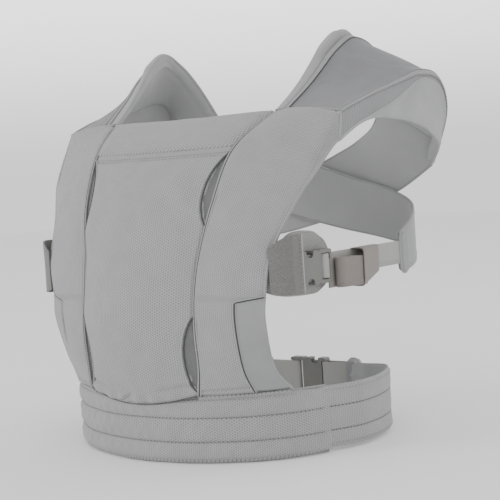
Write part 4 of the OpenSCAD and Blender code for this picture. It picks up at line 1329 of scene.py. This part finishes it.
path = webbing_path(0.094)
strap_piece(strip_along("waist_webbing.strip", path, WAIST_WEB, WEB_THICK, "webbing", at_waist, 1),
            "waist_strap_end", "webbing", "waist_webbing")
path = folded_path((0.0235, 0.0500), 0.0008, 0.0105, 0.0022)
strap_piece(strip_along("waist_webbing_roll.folds", path, 0.0375, WEB_THICK, "taupe", at_waist, 1, y=-0.003),
            "waist_strap_end", "taupe_elastic", "waist_webbing_roll")
strap_piece(closed_band("waist_web_keeper.band", (0.053, 0.077), -0.0235, 0.0205, -0.0052, 0.0058, BAND_THICK,
                        "taupe", at_waist, 1),
            "waist_keeper", "taupe_elastic", "waist_web_keeper")
tab("waist_strap_tab.pad", (0.0895, 0.1035), 0.0245, -0.0030, 0.0062, at_waist, 1, "waist_strap_end")
tab("waist_anchor_tab.pad", (-0.078, -0.060), 0.0245, -0.0030, 0.0150, at_waist, 1, "carrier")

# the moulded buckles and the anchor loops stay as they are, with soft edges and their own finish
for n_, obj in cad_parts.items():
    if any(part in n_ for part in ("socket", "plug", "latch")) or "anchor_loop" in n_:
        obj.data.materials.clear()
        obj.data.materials.append(M["webbing" if "anchor" in n_ else "plastic"])
        bev = obj.modifiers.new("soft edges", "BEVEL")
        bev.width, bev.segments = (0.0003, 1) if "anchor" in n_ else (0.0007, 3)
        bev.limit_method, bev.angle_limit = "ANGLE", math.radians(35)
        bev.harden_normals = False

# ---------------------------------------------------------------- studio
floor = make("floor", [(-4, -4, 0), (4, -4, 0), (4, 4, 0), (-4, 4, 0)], [(0, 1, 2, 3)], ["lining"])
n = Nodes("pale_floor")
floor.data.materials.clear()
patches = n.span(n.noise(n.spot(), 3), 0.3, 0.7)
floor.data.materials.append(n.finish(n.blend(patches, (0.93,) * 3, (0.95,) * 3), 0.9, None, 0, 0.2))


def light(name, at, aim, size, power):
    """A round soft light at one place, turned to another."""
    data = bpy.data.lights.new(name, "AREA")
    data.shape, data.size, data.energy = "DISK", size, power
    d = unit(np.array(aim) - np.array(at))
    x = unit(np.cross(d, [0, 0, 1]))
    placed(name, data, at, x, np.cross(x, d), -d)


light("key", (-1.4, -1.7, 0.8), (0, 0, 0.2), 0.7, 15)
light("fill", (1.9, -1.0, 0.7), (0, 0, 0.2), 1.2, 4)
light("back", (0.9, 1.5, 1.3), (0, 0, 0.25), 1.2, 6)
world = bpy.data.worlds.new("white")
world.use_nodes = True
sky = world.node_tree.nodes["Background"]
sky.inputs[0].default_value = (1, 1, 1, 1)
# the backdrop is brighter above the horizon, as a lit sweep is, without lighting the part
tree = world.node_tree
seen, spot = tree.nodes.new("ShaderNodeLightPath"), tree.nodes.new("ShaderNodeTexCoord")
split, rise = tree.nodes.new("ShaderNodeSeparateXYZ"), tree.nodes.new("ShaderNodeMapRange")
tree.links.new(spot.outputs["Generated"], split.inputs[0])
tree.links.new(split.outputs[2], rise.inputs[0])
rise.interpolation_type = "SMOOTHSTEP"
for i, x in enumerate((-0.01, 0.16, 0.0, 1.3), 1):
    rise.inputs[i].default_value = x
bright = tree.nodes.new("ShaderNodeMath")
bright.operation = "MULTIPLY_ADD"
tree.links.new(seen.outputs["Is Camera Ray"], bright.inputs[0])
tree.links.new(rise.outputs[0], bright.inputs[1])
bright.inputs[2].default_value = 1.15
tree.links.new(bright.outputs[0], sky.inputs[1])
bpy.context.scene.world = world
